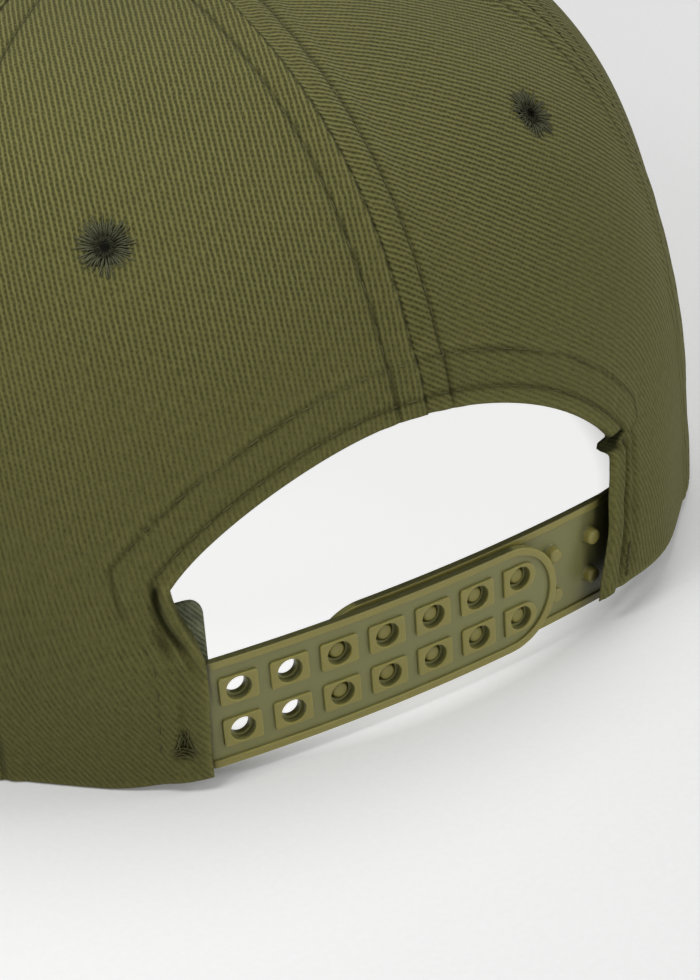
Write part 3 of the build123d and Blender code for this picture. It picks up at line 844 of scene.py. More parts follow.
TAPE_HALF, TAPE_THICKNESS = 6.0, 0.5
TAPE_TOP_SCALE, TAPE_ROW = 0.17, 1.1      # how near a tape comes to the top, and its sewn rows to its edges
TAPE_STEPS = (-1, -0.97, -0.9, -0.8, -0.72, -0.5, -0.25, 0, 0.25, 0.5, 0.72, 0.8, 0.9, 0.97, 1)


def layer_object(name, azimuth, length, outer, inner, grain=(45, 45), quads=None):
    """A closed layer over a grid of the crown, from heights over its outer face."""
    uv = cloth_place(azimuth, length, azimuth.min(), grain)
    outer, inner = lifted(azimuth, length, outer), lifted(azimuth, length, inner)
    return shell_object(name, outer, inner, grid_faces(*azimuth.shape) if quads is None else quads, uv)


def make_tape(name, seam, foot, inset):
    """A narrow tape over a seam's allowances on the inside."""
    length = np.arange(foot, length_at_scale(TAPE_TOP_SCALE), 1.1)
    offset = np.array(TAPE_STEPS)[:, None] * TAPE_HALF * np.ones_like(length)
    azimuth = seam + offset / local_radius(seam, length)
    run = length[None, :] * np.ones_like(offset)
    ridge = 0.45 * bump(offset, 0, 3.2) + 0.18 * bump(np.abs(offset), 5.0, 0.8) * np.sin(run / 0.9)
    edge = fold_share(TAPE_HALF - np.abs(offset), 0.35) * TAPE_THICKNESS / 2
    middle = -inset - TAPE_THICKNESS / 2 - ridge
    return layer_object(name, azimuth, run, middle + edge, middle - edge, (90, 90))


def tape_threads(seam, foot, inset):
    """The rows that sew a tape down along both sides."""
    length = np.arange(foot + 1.5, length_at_scale(TAPE_TOP_SCALE) - 2, 0.8)
    rows = []
    for sign in (-1, 1):
        azimuth = seam + sign * (TAPE_HALF - TAPE_ROW) / local_radius(seam, length)
        depth = np.full_like(length, inset + TAPE_THICKNESS + 0.08)
        rows.append((lifted(azimuth, length, -depth), -crown_normal(azimuth, length)))
    return rows


STIFFENER_TOP_SCALE = 0.3
TAPES = {
    "back_seam_tape_left": (BACK_SEAM, 2.0, 1.0),
    "back_seam_tape_right": (-BACK_SEAM, 2.0, 1.0),
    "front_seam_tape_left": (FRONT_SEAM, 2.0, 1.0),
    "front_seam_tape_right": (-FRONT_SEAM, 2.0, 1.0),
    "centre_back_seam_tape": (0, ARCH_TOP + 9.0, 1.0),
    "centre_front_seam_tape": (180, 2.0, 2.0),
}


def add_tapes(material, thread):
    for node, (turn, foot, inset) in TAPES.items():
        seam = math.radians(turn)
        foot = max(foot, float(length_at(base_height(seam))) + 1.4)
        piece = dress(make_tape(f"inner_{node}", seam, foot, inset), material, "cap", "seam_tape", node)
        sew(node, tape_threads(seam, foot, inset + 0.25), thread, 0.15)


def make_stiffener(side):
    """Open-weave buckram behind a front panel."""
    low, high = (math.radians(a) for a in panel_seams("front", side))
    wide, narrow = 7.5 / 95, 0.4 / 95      # margins at the side seam and at the middle one, as angles
    low, high = (low + wide, high - narrow) if side == "left" else (low + narrow, high - wide)
    columns = np.linspace(low, high, 54)
    top = length_at_scale(STIFFENER_TOP_SCALE)
    foot = length_at(base_height(columns) + 0.8)
    share = np.linspace(0, 1, 90)
    length = foot[:, None] + (top - foot)[:, None] * share
    azimuth = columns[:, None] * np.ones_like(length)
    far = eyelet_distance("front", side, crown_face(azimuth, length))
    quads = grid_faces(*azimuth.shape)
    keep = far.ravel()[quads].mean(1) > EYELET_RADIUS + 1.4
    wave = 0.05 * np.sin(length / 1.6) * np.sin(azimuth * 60)
    return layer_object(f"buckram_{side}", azimuth, length, -1.05 + wave, -1.75 + wave, quads=quads[keep])


def make_facing():
    """The tape that finishes the arch's edge on the inside."""
    parts = []
    distances = np.array([0.7, 0.78, 0.95, 1.3, 2.0, 3.0, 4.2, 5.4, 6.4, 6.9, 7.1, 7.2])
    for side in ("right", "left"):
        lines = [arch_at(side, d) for d in distances]
        azimuth, length = (np.stack(part) for part in zip(*lines))
        kept = np.s_[:, ::-1] if side == "right" else np.s_[:, 1:]      # the middle column only once
        parts.append((azimuth[kept], length[kept]))
    azimuth, length = (np.concatenate(part, 1) for part in zip(*parts))
    edge = fold_share(np.minimum(distances - 0.65, 7.25 - distances), 0.3)[:, None] * 0.24
    middle = -1.62 - 0.06 * np.sin(azimuth * 70) * np.ones_like(length)
    return layer_object("arch_facing_tape", azimuth, length, middle + edge, middle - edge)


# ---- sweatband -------------------------------------------------------------------------

BAND_ENDS = (25.8, 360 - 33.0)
BAND_HEIGHT, BAND_FOOT = 30.0, 0.9
BAND_ROWS = (3.2, 26.8)
BAND_END_DROP, BAND_CORNER = 1.6, 2.6


def band_inset(azimuth):
    """How far the band stands in from the crown's face: further where a strap end passes behind it."""
    left = np.degrees(azimuth)
    right = 360 - left
    return 2.5 + 0.9 * (1 - smooth(left, 30, 38)) + 2.4 * (1 - smooth(right, 27, 36))


def band_run(azimuth):
    """Distance along the band, and from its nearer end."""
    low, high = (math.radians(a) for a in BAND_ENDS)
    run = (azimuth - low) * HALF_WIDTH
    return run, np.minimum(run, (high - low) * HALF_WIDTH - run)


def band_drop(from_end):
    """How far the band's top is lowered: a little near each end, and round its corner."""
    within = np.clip(BAND_CORNER - from_end, 0, BAND_CORNER)
    rounding = BAND_CORNER - np.sqrt(np.maximum(BAND_CORNER**2 - within**2, 0))
    return rounding + BAND_END_DROP * (1 - smooth(from_end, 4, 30))


def band_lean(run, from_end, height):
    """How far the band's middle stands in from the crown's face, more at its free top."""
    lean = 1.6 * smooth(height, 8, 31) + 0.5 * smooth(height, 24, 32) * np.sin(run / 9.0)
    lean = lean + 0.35 * smooth(height, 12, 30) * np.sin(run / 4.3 + 1.0)
    return lean * smooth(from_end, 4, 26) + 0.8


def make_sweatband():
    """A folded and lightly padded strip round the inside, with a free upper edge that stands in."""
    low, high = (math.radians(a) for a in BAND_ENDS)
    width = (high - low) * HALF_WIDTH
    around_band = low + (high - low) * folded(graded(width, 12, 0.9, 1.8)) / width
    up = folded(graded(BAND_HEIGHT, 5.0, 0.5, 1.0))
    up = np.concatenate([up[up < BAND_HEIGHT - 2], BAND_HEIGHT - np.array(FOLD_STEPS[::-1])])
    azimuth, height = np.meshgrid(around_band, up, indexing="ij")
    run, from_end = band_run(azimuth)
    lowered = band_drop(from_end)
    height = height * (1 - lowered / BAND_HEIGHT)
    lean = band_lean(run, from_end, height)
    rows = sum(bump(height, row * (1 - lowered / BAND_HEIGHT), 0.9) for row in BAND_ROWS)
    puff = 0.20 * np.sin(run / 1.6) * bump(height, 5.5, 2.2)
    puff = puff + 0.16 * np.sin(run / 2.1) * bump(height, 26, 2.0)
    edge = np.minimum(from_end, np.minimum(height, BAND_HEIGHT - height - lowered))
    half = (1.5 - 0.85 * rows + puff) / 2 * fold_share(np.maximum(edge, 0), 0.7)
    middle = -(band_inset(azimuth) + lean)
    length = length_at(height + BAND_FOOT + base_height(azimuth))
    return layer_object("sweatband", azimuth, length, middle + half, middle - half)


def sweatband_threads():
    low, high = (math.radians(a) for a in BAND_ENDS)
    azimuth = np.linspace(low + 0.03, high - 0.03, 700)
    run, from_end = band_run(azimuth)
    rows = []
    for row in BAND_ROWS:
        height = row * (1 - band_drop(from_end) / BAND_HEIGHT)
        length = length_at(height + BAND_FOOT + base_height(azimuth))
        inset = band_inset(azimuth) + band_lean(run, from_end, height) + 0.36
        rows.append((lifted(azimuth, length, -inset), -crown_normal(azimuth, length)))
    return rows


# ---- visor -----------------------------------------------------------------------------

VISOR_EDGE = ((0, 83.5, -48.9), (23.5, 87.5, -72.1), (87.0, 70.0, -133.3), (165.2, 0.0, -168.5))
VISOR_ROOT = 120.4
VISOR_ROWS = 8
VISOR_ROW_START, VISOR_ROW_PITCH = 4.0, 6.2
COVER = 0.7


def visor_edge(share):
    """Plan point on the visor's rim, from the left ear (0) round to the right ear (1)."""
    last = VISOR_EDGE[-1][0]
    rim = VISOR_EDGE + tuple((2 * last - reach, -x, y) for reach, x, y in VISOR_EDGE[-2::-1])
    return tuple(through([(row[0], row[k]) for row in rim], share * 2 * last, even=True) for k in (1, 2))


def visor_plan(share, out):
    """Plan point: share from ear to ear, out from the crown (0) to the rim (1)."""
    azimuth = np.radians(VISOR_ROOT + (360 - 2 * VISOR_ROOT) * share)
    root = plan_radius(azimuth) - 2.2
    root_x, root_y = root * np.sin(azimuth), root * np.cos(azimuth)
    edge_x, edge_y = visor_edge(share)
    return root_x + (edge_x - root_x) * out, root_y + (edge_y - root_y) * out


def visor_depth(share):
    """Distance from the crown to the rim."""
    root_x, root_y = visor_plan(share, np.zeros_like(share))
    edge_x, edge_y = visor_plan(share, np.ones_like(share))
    return np.hypot(edge_x - root_x, edge_y - root_y)


def visor_point(x, y, drop):
    """A point drop millimetres below the visor's top face."""
    axis_z = float(visor_height(0)) - VISOR_BEND_RADIUS
    turn = np.arcsin(x / VISOR_BEND_RADIUS)
    radius = VISOR_BEND_RADIUS - drop
    return np.stack([radius * np.sin(turn), y + 0 * drop, axis_z + radius * np.cos(turn)], -1)


def visor_grid():
    """Shares from ear to ear, closer at the ears, and outwards, closer at the rim."""
    swing = np.cos(math.pi * np.linspace(0, 1, 190))
    share = 0.5 - 0.5 * swing * (0.9 + 0.1 * swing**2)
    rim = (0.06, 0.045, 0.03, 0.02, 0.012, 0.006, 0.002, 0)
    return np.meshgrid(share, np.concatenate([np.linspace(0, 0.93, 96), 1 - np.array(rim)]), indexing="ij")


def make_visor_cover(name, top):
    """One cover: cloth over the board, turned round its rim to meet the other at a seam."""
    share, out = visor_grid()
    x, y = visor_plan(share, out)
    depth = visor_depth(share)
    from_rim = (1 - out) * depth
    row = np.clip((from_rim - VISOR_ROW_START) / VISOR_ROW_PITCH, 0, VISOR_ROWS)
    puff = 0.16 * np.sin(math.pi * row) ** 2
    rows = sum(bump(from_rim, VISOR_ROW_START + k * VISOR_ROW_PITCH, 0.45) for k in range(VISOR_ROWS))
    relief = puff - 0.30 * rows - 0.10
    turn_in = VISOR_STACK / 2 * (1 - np.sqrt(np.clip(1 - (1 - np.clip(from_rim / 1.9, 0, 1)) ** 2, 0, 1)))
    outer, inner = turn_in - relief, turn_in * 0.86 + COVER      # depths under the face they cover
    if not top:
        outer, inner = VISOR_STACK - outer, VISOR_STACK - inner
    gap = (0.03 if top else -0.03) * (out > 0.999)
    uv = np.stack([0.8 * x + 0.6 * y, 0.8 * y - 0.6 * x], -1)
    # wear at the rim only; the visor gets no painted shade
    wear_and_painted_shade = bump(from_rim, 0.2, 1.2)
    return shell_object(name, visor_point(x, y, outer - gap), visor_point(x, y, inner - gap),
                        grid_faces(*x.shape), uv, wear_and_painted_shade)


def visor_threads(top):
    """Rows of stitching that follow the rim."""
    rows = []
    share = np.linspace(0.004, 0.996, 500)
    depth = visor_depth(share)
    for k in range(VISOR_ROWS):
        from_rim = VISOR_ROW_START + k * VISOR_ROW_PITCH
        shown = depth > from_rim + 5.5
        x, y = visor_plan(share[shown], 1 - from_rim / depth[shown])
        drop = 0.22 if top else VISOR_STACK - 0.22
        points = visor_point(x, y, np.full_like(x, drop))
        turn = np.arcsin(x / VISOR_BEND_RADIUS)
        normals = np.stack([np.sin(turn), 0 * x, np.cos(turn)], -1) * (1 if top else -1)
        rows.append((points, normals))
    return rows


# ---- button ----------------------------------------------------------------------------

BUTTON_RADIUS, BUTTON_HEIGHT, BUTTON_Z = 7.0, 4.2, 108.8


def pole_quads(columns, rows):
    """A ladder of quads across the small ring at a dome's pole, the first row of each column."""
    ring = np.arange(columns) * rows
    low = np.arange(columns // 2 - 1)
    return np.stack([ring[low], ring[low + 1], ring[columns - 2 - low], ring[columns - 1 - low]], 1)


def make_button():
    """Cloth drawn over a dome, with a crisp lower edge and faint gathers."""
    angle = np.linspace(0.02, 1, 26) * math.pi / 2
    turn = np.arange(72) / 72 * 2 * math.pi
    gather = 1 - 0.012 * np.sin(turn[:, None] * 18) * smooth(angle, 0.9, 1.5)
    layers = []
    for inset in (0.0, 0.55):
        radius = (BUTTON_RADIUS - inset) * np.sin(angle) ** 0.92
        height = (BUTTON_HEIGHT - inset) * np.cos(angle) ** 0.85
        x, y = radius * gather * np.cos(turn)[:, None], radius * gather * np.sin(turn)[:, None]
        layers.append(np.stack([x, y - TOP_LEAN, BUTTON_Z + height + 0 * x], -1))
    outer, inner = layers
    quads = np.concatenate([grid_faces(*outer.shape[:2], wrap=True), pole_quads(*outer.shape[:2])])
    return shell_object("button_cover", outer, inner, quads, outer[..., :2] * 1.1)


# ---- snap closure ----------------------------------------------------------------------

# The straps are drawn flat and then bent. Along is measured from the middle of the back to the wearer's
# left, up from the straps' middle height, and out from the closure's arc. Left is the outer strap.
STRAP_RADIUS, STRAP_BACK_Y, STRAP_MIDDLE_Z = 283.0, 86.7, 12.6
STRAP_HALF, RIM_WIDTH = 10.0, 1.4
PITCH, ROW_SPACING, COLUMNS, FIRST_HOLE = 8.75, 7.83, 7, 37.3
HOLE_RADIUS = 2.15
COLLAR_RADIUS, COLLAR_END = 2.75, -1.65      # the tube behind a hole, and how far in it reaches
GRIP_RADIUS = 1.72
PAD_HALF = (3.3, 2.55)      # the raised frame round a hole
OUTER_PLATE, OUTER_RIM_TOP = (-0.5, 0.35), 0.85
INNER_PLATE, INNER_RIM_TOP = (-2.7, -1.85), -1.35
STRAP_TIP = {"left": -23.0, "right": 24.0}
STRAP_ROOT = {"left": 50.0, "right": -45.5}
BEND = {"left": (44.5, 40.0), "right": (-39.6, -35.4)}      # from the sewn root to the free strap
UNDER_TAB = {"left": (42.2, 44.4, 1.6), "right": (34.2, 40.0, 3.6)}      # start, end, depth in the crown
TAB_SHADE = {"left": 0.9, "right": 2.4}      # width of the dark beside a tab's edge


def arc_points(centre, radius, start, end, count):
    turn = np.radians(np.linspace(start, end, count))
    return np.stack([centre[0] + radius * np.cos(turn), centre[1] + radius * np.sin(turn)], -1)


def circle(centre, radius, count=36):
    return arc_points(centre, radius, 0, 360, count + 1)[:-1]


def rounded_box(centre, half, corner=0.45):
    corners = []
    for k, (sx, sy) in enumerate(((1, 1), (-1, 1), (-1, -1), (1, -1))):
        middle = (centre[0] + sx * (half[0] - corner), centre[1] + sy * (half[1] - corner))
        corners.append(arc_points(middle, corner, 90 * k, 90 * k + 90, 6))
    return np.concatenate(corners)


def half_round(middle, radius, sign, back, count):
    """A bar's outline: a half-round end towards sign, and two corners at x = back."""
    arc = arc_points(middle, radius, -90, 90, count)
    if sign < 0:
        arc[:, 0] = 2 * middle[0] - arc[:, 0]
        arc = arc[::-1]
    return np.concatenate([arc, [(back, arc[-1][1]), (back, arc[0][1])]])


def end_pad(centre):
    """The last pad's outline, half round towards the strap's tip."""
    middle = (centre[0] - (PAD_HALF[0] - PAD_HALF[1]), centre[1])
    return half_round(middle, PAD_HALF[1], -1, centre[0] + PAD_HALF[0], 18)


def strap_outline(root, tip, margin=0.0):
    """Straight sides and a half-round tip, margin within the strap's edge."""
    sign = 1 if tip > root else -1
    return half_round((tip - sign * STRAP_HALF, 0), STRAP_HALF - margin, sign, root + sign * margin, 40)


def slab(outlines, low, high, bevel):
    """A flat piece with rounded edges, as a mesh: its outlines' insides are holes."""
    curve = bpy.data.curves.new("outline", "CURVE")
    curve.dimensions, curve.fill_mode = "2D", "BOTH"
    for outline in outlines:
        spline = curve.splines.new("POLY")
        spline.points.add(len(outline) - 1)
        flat = np.column_stack([outline, np.zeros(len(outline)), np.ones(len(outline))])
        spline.points.foreach_set("co", flat.ravel())
        spline.use_cyclic_u = True
    curve.extrude = (high - low) / 2 - bevel
    curve.bevel_depth, curve.bevel_resolution, curve.offset = bevel, 2, -bevel
    holder = bpy.data.objects.new("outline", curve)
    mesh = bpy.data.meshes.new_from_object(holder)
    mesh.transform(Matrix.Translation((0, 0, (low + high) / 2)))
    bpy.data.objects.remove(holder)
    bpy.data.curves.remove(curve)
    return mesh


PEG_PROFILE = ((1.72, -1.90), (1.55, -1.80), (1.45, -1.62), (1.42, -1.2), (1.38, -0.7), (1.34, -0.42),
               (1.26, -0.24), (1.10, -0.12), (0.80, -0.06), (0.30, -0.05))


def peg_mesh(centre):
    """A stud with a small foot, a slight taper and a rounded end."""
    turns = np.arange(28) / 28 * 2 * math.pi
    points = [(centre[0] + radius * math.cos(turn), centre[1] + radius * math.sin(turn), out)
              for radius, out in PEG_PROFILE for turn in turns]
    index = np.arange(len(points)).reshape(len(PEG_PROFILE), -1)
    faces = ring_quads(index).tolist() + [index[-1].tolist(), index[0, ::-1].tolist()]
    mesh = bpy.data.meshes.new("peg")
    mesh.from_pydata(points, [], faces)
    return mesh


def strap_place(points, side, plate_top):
    """Bends flat strap points (along, up, out) to the closure's arc, and under the tab at the root."""
    along, up, out = points.T
    turn = along / STRAP_RADIUS
    radius = STRAP_RADIUS + out
    height = STRAP_MIDDLE_Z + up
    centre_y = STRAP_BACK_Y - STRAP_RADIUS
    free = np.stack([radius * np.sin(turn), centre_y + radius * np.cos(turn), height], -1)
    start, end, inset = UNDER_TAB[side]
    share = smooth(SIDES[side] * along, start, end)
    length = length_at(height)
    azimuth = azimuth_at_x(np.clip(STRAP_RADIUS * np.sin(turn), -60, 60), length)
    depth = inset + plate_top - np.minimum(out, plate_top)
    sewn = lifted(azimuth, length, -depth)
    return free * (1 - share[:, None]) + sewn * share[:, None]


def cut_across(work, side):
    """Cuts a flat strap across so that it can bend, more often where it turns in under its tab."""
    low, high = sorted((STRAP_ROOT[side], STRAP_TIP[side]))
    fine = sorted(BEND[side])
    for cut in np.concatenate([np.arange(low + 1, high, 2.7), np.arange(fine[0] - 1, fine[1] + 1, 0.6)]):
        everything = work.verts[:] + work.edges[:] + work.faces[:]
        bmesh.ops.bisect_plane(work, geom=everything, plane_co=(cut, 0, 0), plane_no=(1, 0, 0), dist=1e-4)


def shade_smooth(work, sharp=38):
    """Smooth faces, apart from edges that turn by more degrees than sharp."""
    for face in work.faces:
        face.smooth = True
    work.normal_update()
    for edge in work.edges:
        if len(edge.link_faces) == 2 and edge.calc_face_angle(0) > math.radians(sharp):
            edge.smooth = False


def strap_painted_shade(side, up, placed):
    """How near strap points are to the tab's edge or to the strap's upper one, where they get painted shade.
    """
    from_tab = SIDES[side] * (tab_x(side, placed[:, 2]) - placed[:, 0])
    beside = 1 - smooth(from_tab, 0.2, TAB_SHADE[side])
    return np.maximum(beside, 0.85 * smooth(up, STRAP_HALF - 0.12, STRAP_HALF - 0.02))


def bent_strap(name, meshes, side, plate_top, rim_top):
    """Joins a strap's flat meshes, cuts them across and bends them."""
    work = bmesh.new()
    for mesh in meshes:
        work.from_mesh(mesh)
        bpy.data.meshes.remove(mesh)
    bmesh.ops.remove_doubles(work, verts=work.verts, dist=0.002)
    cut_across(work, side)
    flat = np.array([v.co for v in work.verts])
    placed = strap_place(flat, side, plate_top)
    for vertex, place in zip(work.verts, placed * MM):
        vertex.co = place
    shade_smooth(work)
    mesh = bpy.data.meshes.new(name)
    work.to_mesh(mesh)
    work.free()
    float_attribute(mesh, "raised", smooth(flat[:, 2], plate_top + 0.1, rim_top))
    float_attribute(mesh, "beside", strap_painted_shade(side, flat[:, 1], placed))
    return linked(name, mesh)


def strap_grid(first):
    return [(first - PITCH * k, row * ROW_SPACING / 2) for k in range(COLUMNS) for row in (-1, 1)]


def make_outer_strap():
    low, high = OUTER_PLATE
    ends = STRAP_ROOT["left"], STRAP_TIP["left"]
    holes = strap_grid(FIRST_HOLE)
    plate = [strap_outline(*ends)] + [circle(c, HOLE_RADIUS) for c in holes]
    rim = [strap_outline(*ends), strap_outline(*ends, RIM_WIDTH)]
    meshes = [slab(plate, low, high, 0.10), slab(rim, high - 0.15, OUTER_RIM_TOP, 0.16)]
    last = min(c[0] for c in holes)
    for centre in holes:
        collar = [circle(centre, COLLAR_RADIUS), circle(centre, GRIP_RADIUS)]
        meshes.append(slab(collar, COLLAR_END, low, 0.08))
        outline = end_pad(centre) if centre[0] == last else rounded_box(centre, PAD_HALF)
        meshes.append(slab([outline, circle(centre, HOLE_RADIUS)], high - 0.15, OUTER_RIM_TOP, 0.10))
    return bent_strap("snap_strap_outer", meshes, "left", high, OUTER_RIM_TOP)


def make_inner_strap():
    low, high = INNER_PLATE
    ends = STRAP_ROOT["right"], STRAP_TIP["right"]
    plate = [strap_outline(*ends)]
    rim = plate + [strap_outline(*ends, RIM_WIDTH)]
    meshes = [slab(plate, low, high, 0.12), slab(rim, high - 0.15, INNER_RIM_TOP, 0.14)]
    meshes += [peg_mesh(centre) for centre in strap_grid(FIRST_HOLE - 2 * PITCH)]
    return bent_strap("snap_strap_inner", meshes, "right", high, INNER_RIM_TOP)


def add_straps(material):
    made = (("left", "outer_strap", make_outer_strap()), ("right", "inner_strap", make_inner_strap()))
    for side, body, piece in made:
        piece.data.materials.append(material)
        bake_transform(piece)
        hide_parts(body, f"{body}_anchor")


# ---- materials -------------------------------------------------------------------------

def feed(tree, place, value):
    """Give an input a number or a colour, or link it to a signal or a socket."""
    value = value.socket if isinstance(value, Signal) else value
    if isinstance(value, bpy.types.NodeSocket):
        tree.links.new(value, place)
    else:
        place.default_value = (*value, 1) if place.type == "RGBA" else value


class Signal:
    """A number inside a material: arithmetic on it adds Math nodes."""

    def __init__(self, tree, socket):
        self.tree, self.socket = tree, socket

    def math(self, operation, *others):
        made = self.tree.nodes.new("ShaderNodeMath")
        made.operation = operation
        for place, value in zip(made.inputs, (self, *others)):
            feed(self.tree, place, value)
        return Signal(self.tree, made.outputs[0])

    def __add__(self, other):
        return self.math("ADD", other)

    def __sub__(self, other):
        return self.math("SUBTRACT", other)

    def __mul__(self, other):
        return self.math("MULTIPLY", other)

    def power(self, exponent):
        return self.math("POWER", exponent)

    def wave(self):
        """0.5 + 0.5 cos(2 pi x)."""
        return (self * (2 * math.pi)).math("COSINE") * 0.5 + 0.5

    def clamped(self, low=0.0, high=1.0):
        return self.math("MAXIMUM", low).math("MINIMUM", high)


class Material:
    """A new node material and short ways to reach its parts."""

    def __init__(self, name, roughness, specular, inputs=None):
        self.made = bpy.data.materials.new(name)
        self.made.use_nodes = True
        self.tree = self.made.node_tree
        given = {"Roughness": roughness, "Specular IOR Level": specular, **(inputs or {})}
        for place, value in given.items():
            self.feed(place, value)

    def feed(self, place, value):
        """Set or link one of the shader's own inputs."""
        feed(self.tree, self.tree.nodes["Principled BSDF"].inputs[place], value)

    def node(self, kind, inputs=None, **settings):
        made = self.tree.nodes.new(kind)
        for key, value in settings.items():
            setattr(made, key, value)
        for place, value in (inputs or {}).items():
            feed(self.tree, made.inputs[place], value)
        return made

    def signal(self, output, kind, inputs=None, **settings):
        return Signal(self.tree, self.node(kind, inputs, **settings).outputs[output])

    def split(self, place):
        """A vector's three numbers."""
        made = self.node("ShaderNodeSeparateXYZ", {0: place})
        return [Signal(self.tree, output) for output in made.outputs]

    def cloth(self):
        """Place on the cloth in millimetres: across the ribs, along them, and both as a vector."""
        place = self.node("ShaderNodeUVMap", uv_map="cloth").outputs[0]
        across, along, _ = self.split(place)
        return across, along, place

    def body_place(self):
        """Place in the model, in metres."""
        return self.node("ShaderNodeTexCoord").outputs["Object"]

    def disc(self, centre, radius, edge):
        """1 inside a circle on the ground, falling to 0 across its edge. In metres."""
        flat = self.node("ShaderNodeVectorMath", {0: self.body_place(), 1: (1, 1, 0)}, operation="MULTIPLY")
        ends = {0: flat.outputs[0], 1: (*centre, 0)}
        distance = self.signal("Value", "ShaderNodeVectorMath", ends, operation="DISTANCE")
        return (distance * (-1 / edge) + (radius / edge + 0.5)).clamped()

    def noise(self, place, scale, detail=2.0):
        return self.signal("Fac", "ShaderNodeTexNoise", {"Vector": place, "Scale": scale, "Detail": detail})

    def attribute(self, name):
        return self.signal("Fac", "ShaderNodeAttribute", attribute_name=name)

    def mix(self, share, low, high):
        """A colour between two, which are colours or colour sockets."""
        return self.node("ShaderNodeMix", {"Factor": share, 6: low, 7: high}, data_type="RGBA").outputs[2]

    def bump(self, signal, depth_mm):
        made = self.node("ShaderNodeBump", {"Strength": 1.0, "Distance": depth_mm * MM, "Height": signal})
        self.feed("Normal", made.outputs[0])


CRISP_RISE, CRISP_FOOT = 15.0, -0.35      # how the ribs' contrast grows with height, per metre
CLOTH_SHEEN = {"Sheen Weight": 0.05, "Sheen Roughness": 0.45, "Sheen Tint": (0.95, 0.95, 0.75)}


def scaled(colour, factor):
    return tuple(channel * factor for channel in colour)


def twill_material(name, dark, bright, period, dot_pitch, depth):
    """Ribs with a broken groove between them, crisper high on the crown; uneven yarn and tone, wear, and
    painted shade where the cloth is sunk.
    """
    made = Material(name, 0.92, 0.10, CLOTH_SHEEN)
    across, along, place = made.cloth()
    waver = (made.noise(place, 0.035) - 0.5) * 0.6 + (made.noise(place, 0.7) - 0.5) * 0.42
    phase = (across + waver) * (1 / period)
    ridge = (phase + 0.5).wave()
    row = (phase + 0.5).math("FLOOR")
    groove = (ridge * -1 + 1).power(2.2)
    dots = (along * (1 / dot_pitch) + row * 0.37).wave() * groove * (made.noise(place, 1.1) * 1.6 + 0.2)
    twist = (along * (1.9 / dot_pitch) + across * 1.3).wave()
    spun = made.node("ShaderNodeCombineXYZ", {0: across * 2.4, 1: along * 0.75}).outputs[0]
    yarn, fibre = made.noise(spun, 1.0, 3.0), made.noise(place, 5.0)
    height = made.split(made.body_place())[2]
    crisp = height * CRISP_RISE + (made.noise(place, 0.03) - 0.5) * 1.1 + CRISP_FOOT
    crisp = crisp.clamped(0.3, 1.15)
    made.bump((ridge + twist * 0.10 - dots * 0.55) * crisp + yarn * 0.25 + fibre * 0.12, depth)
    ribs = ridge * 0.62 - dots * 0.46
    share = (ribs - 0.25) * crisp * 0.92 + yarn * 0.75 + fibre * 0.55 - 0.24
    base = made.mix(share.clamped(), dark, bright)
    mottle = made.noise(place, 0.028) * 0.75 + made.noise(place, 0.23, 3.0) * 0.35 - 0.32
    toned = made.mix(mottle.clamped(), scaled(bright, 0.30), scaled(bright, 0.72))
    # The mark lightens the colour where it is above 0, wear, and darkens it where it is below 0, painted
    # shade.
    wear_and_painted_shade = made.attribute("wear_and_painted_shade")
    worn = (wear_and_painted_shade * (yarn * 0.9 + 0.1)).clamped() * 0.55
    painted_shade = (wear_and_painted_shade * -1).clamped() * 0.88
    lightened = made.mix(worn, made.mix(0.30, base, toned), scaled(bright, 1.18))
    made.feed("Base Color", made.mix(painted_shade, lightened, scaled(dark, 0.45)))
    made.feed("Roughness", ridge * -0.08 + 0.95)
    return made.made


def thread_material(name, dark, bright):
    """Spun thread: fine uneven fibres, dull, and with painted shade deep in an eyelet."""
    made = Material(name, 0.8, 0.12)
    place = made.body_place()
    fibre, slow = made.noise(place, 3800.0), made.noise(place, 260.0)
    spun = made.mix((fibre * 0.8 + slow * 0.7 - 0.3).clamped(), dark, bright)
    made.feed("Base Color", made.mix(made.attribute("painted_eyelet_shade") * 0.75, spun, scaled(dark, 0.5)))
    made.bump(fibre, 0.06)
    return made.made


def buckram_material():
    """Open plain weave stiffened with size: pale yarns over darker gaps."""
    made = Material("buckram", 0.85, 0.3)
    across, along, place = made.cloth()
    pitch = 1 / 1.25
    weave = (across * pitch).wave().power(0.6).math("MAXIMUM", (along * pitch).wave().power(0.6))
    fibre = made.noise(place, 3.0, 3.0)
    yarn = (weave + fibre * 0.4 - 0.35).clamped()
    made.feed("Base Color", made.mix(yarn, (0.05, 0.05, 0.05), (0.20, 0.20, 0.21)))
    made.bump(weave + fibre * 0.2, 0.3)
    return made.made


def plastic_material():
    """Soft moulded plastic: greyer in its field, yellower where it stands proud, with a satin skin, and
    painted shade beside the tabs and along the upper edge.
    """
    depth = {"Subsurface Weight": 0.35, "Subsurface Radius": (1.0, 0.9, 0.35), "Subsurface Scale": 0.0015}
    made = Material("snap_plastic", 0.4, 0.45, depth)
    place = made.body_place()
    cloud, grain = made.noise(place, 90.0, 3.0), made.noise(place, 2600.0)
    raised = (made.attribute("raised") * 0.85 + cloud * 0.35 - 0.12).clamped()
    skin = made.mix(raised, (0.172, 0.170, 0.060), (0.212, 0.186, 0.042))
    # painted shade, near black, beside the tabs and along the strap's upper edge
    made.feed("Base Color", made.mix(made.attribute("beside") * 0.8, skin, (0.014, 0.014, 0.006)))
    made.feed("Roughness", cloud * 0.16 + grain * 0.10 + 0.28)
    made.bump(grain + cloud * 2.0, 0.012)
    return made.made


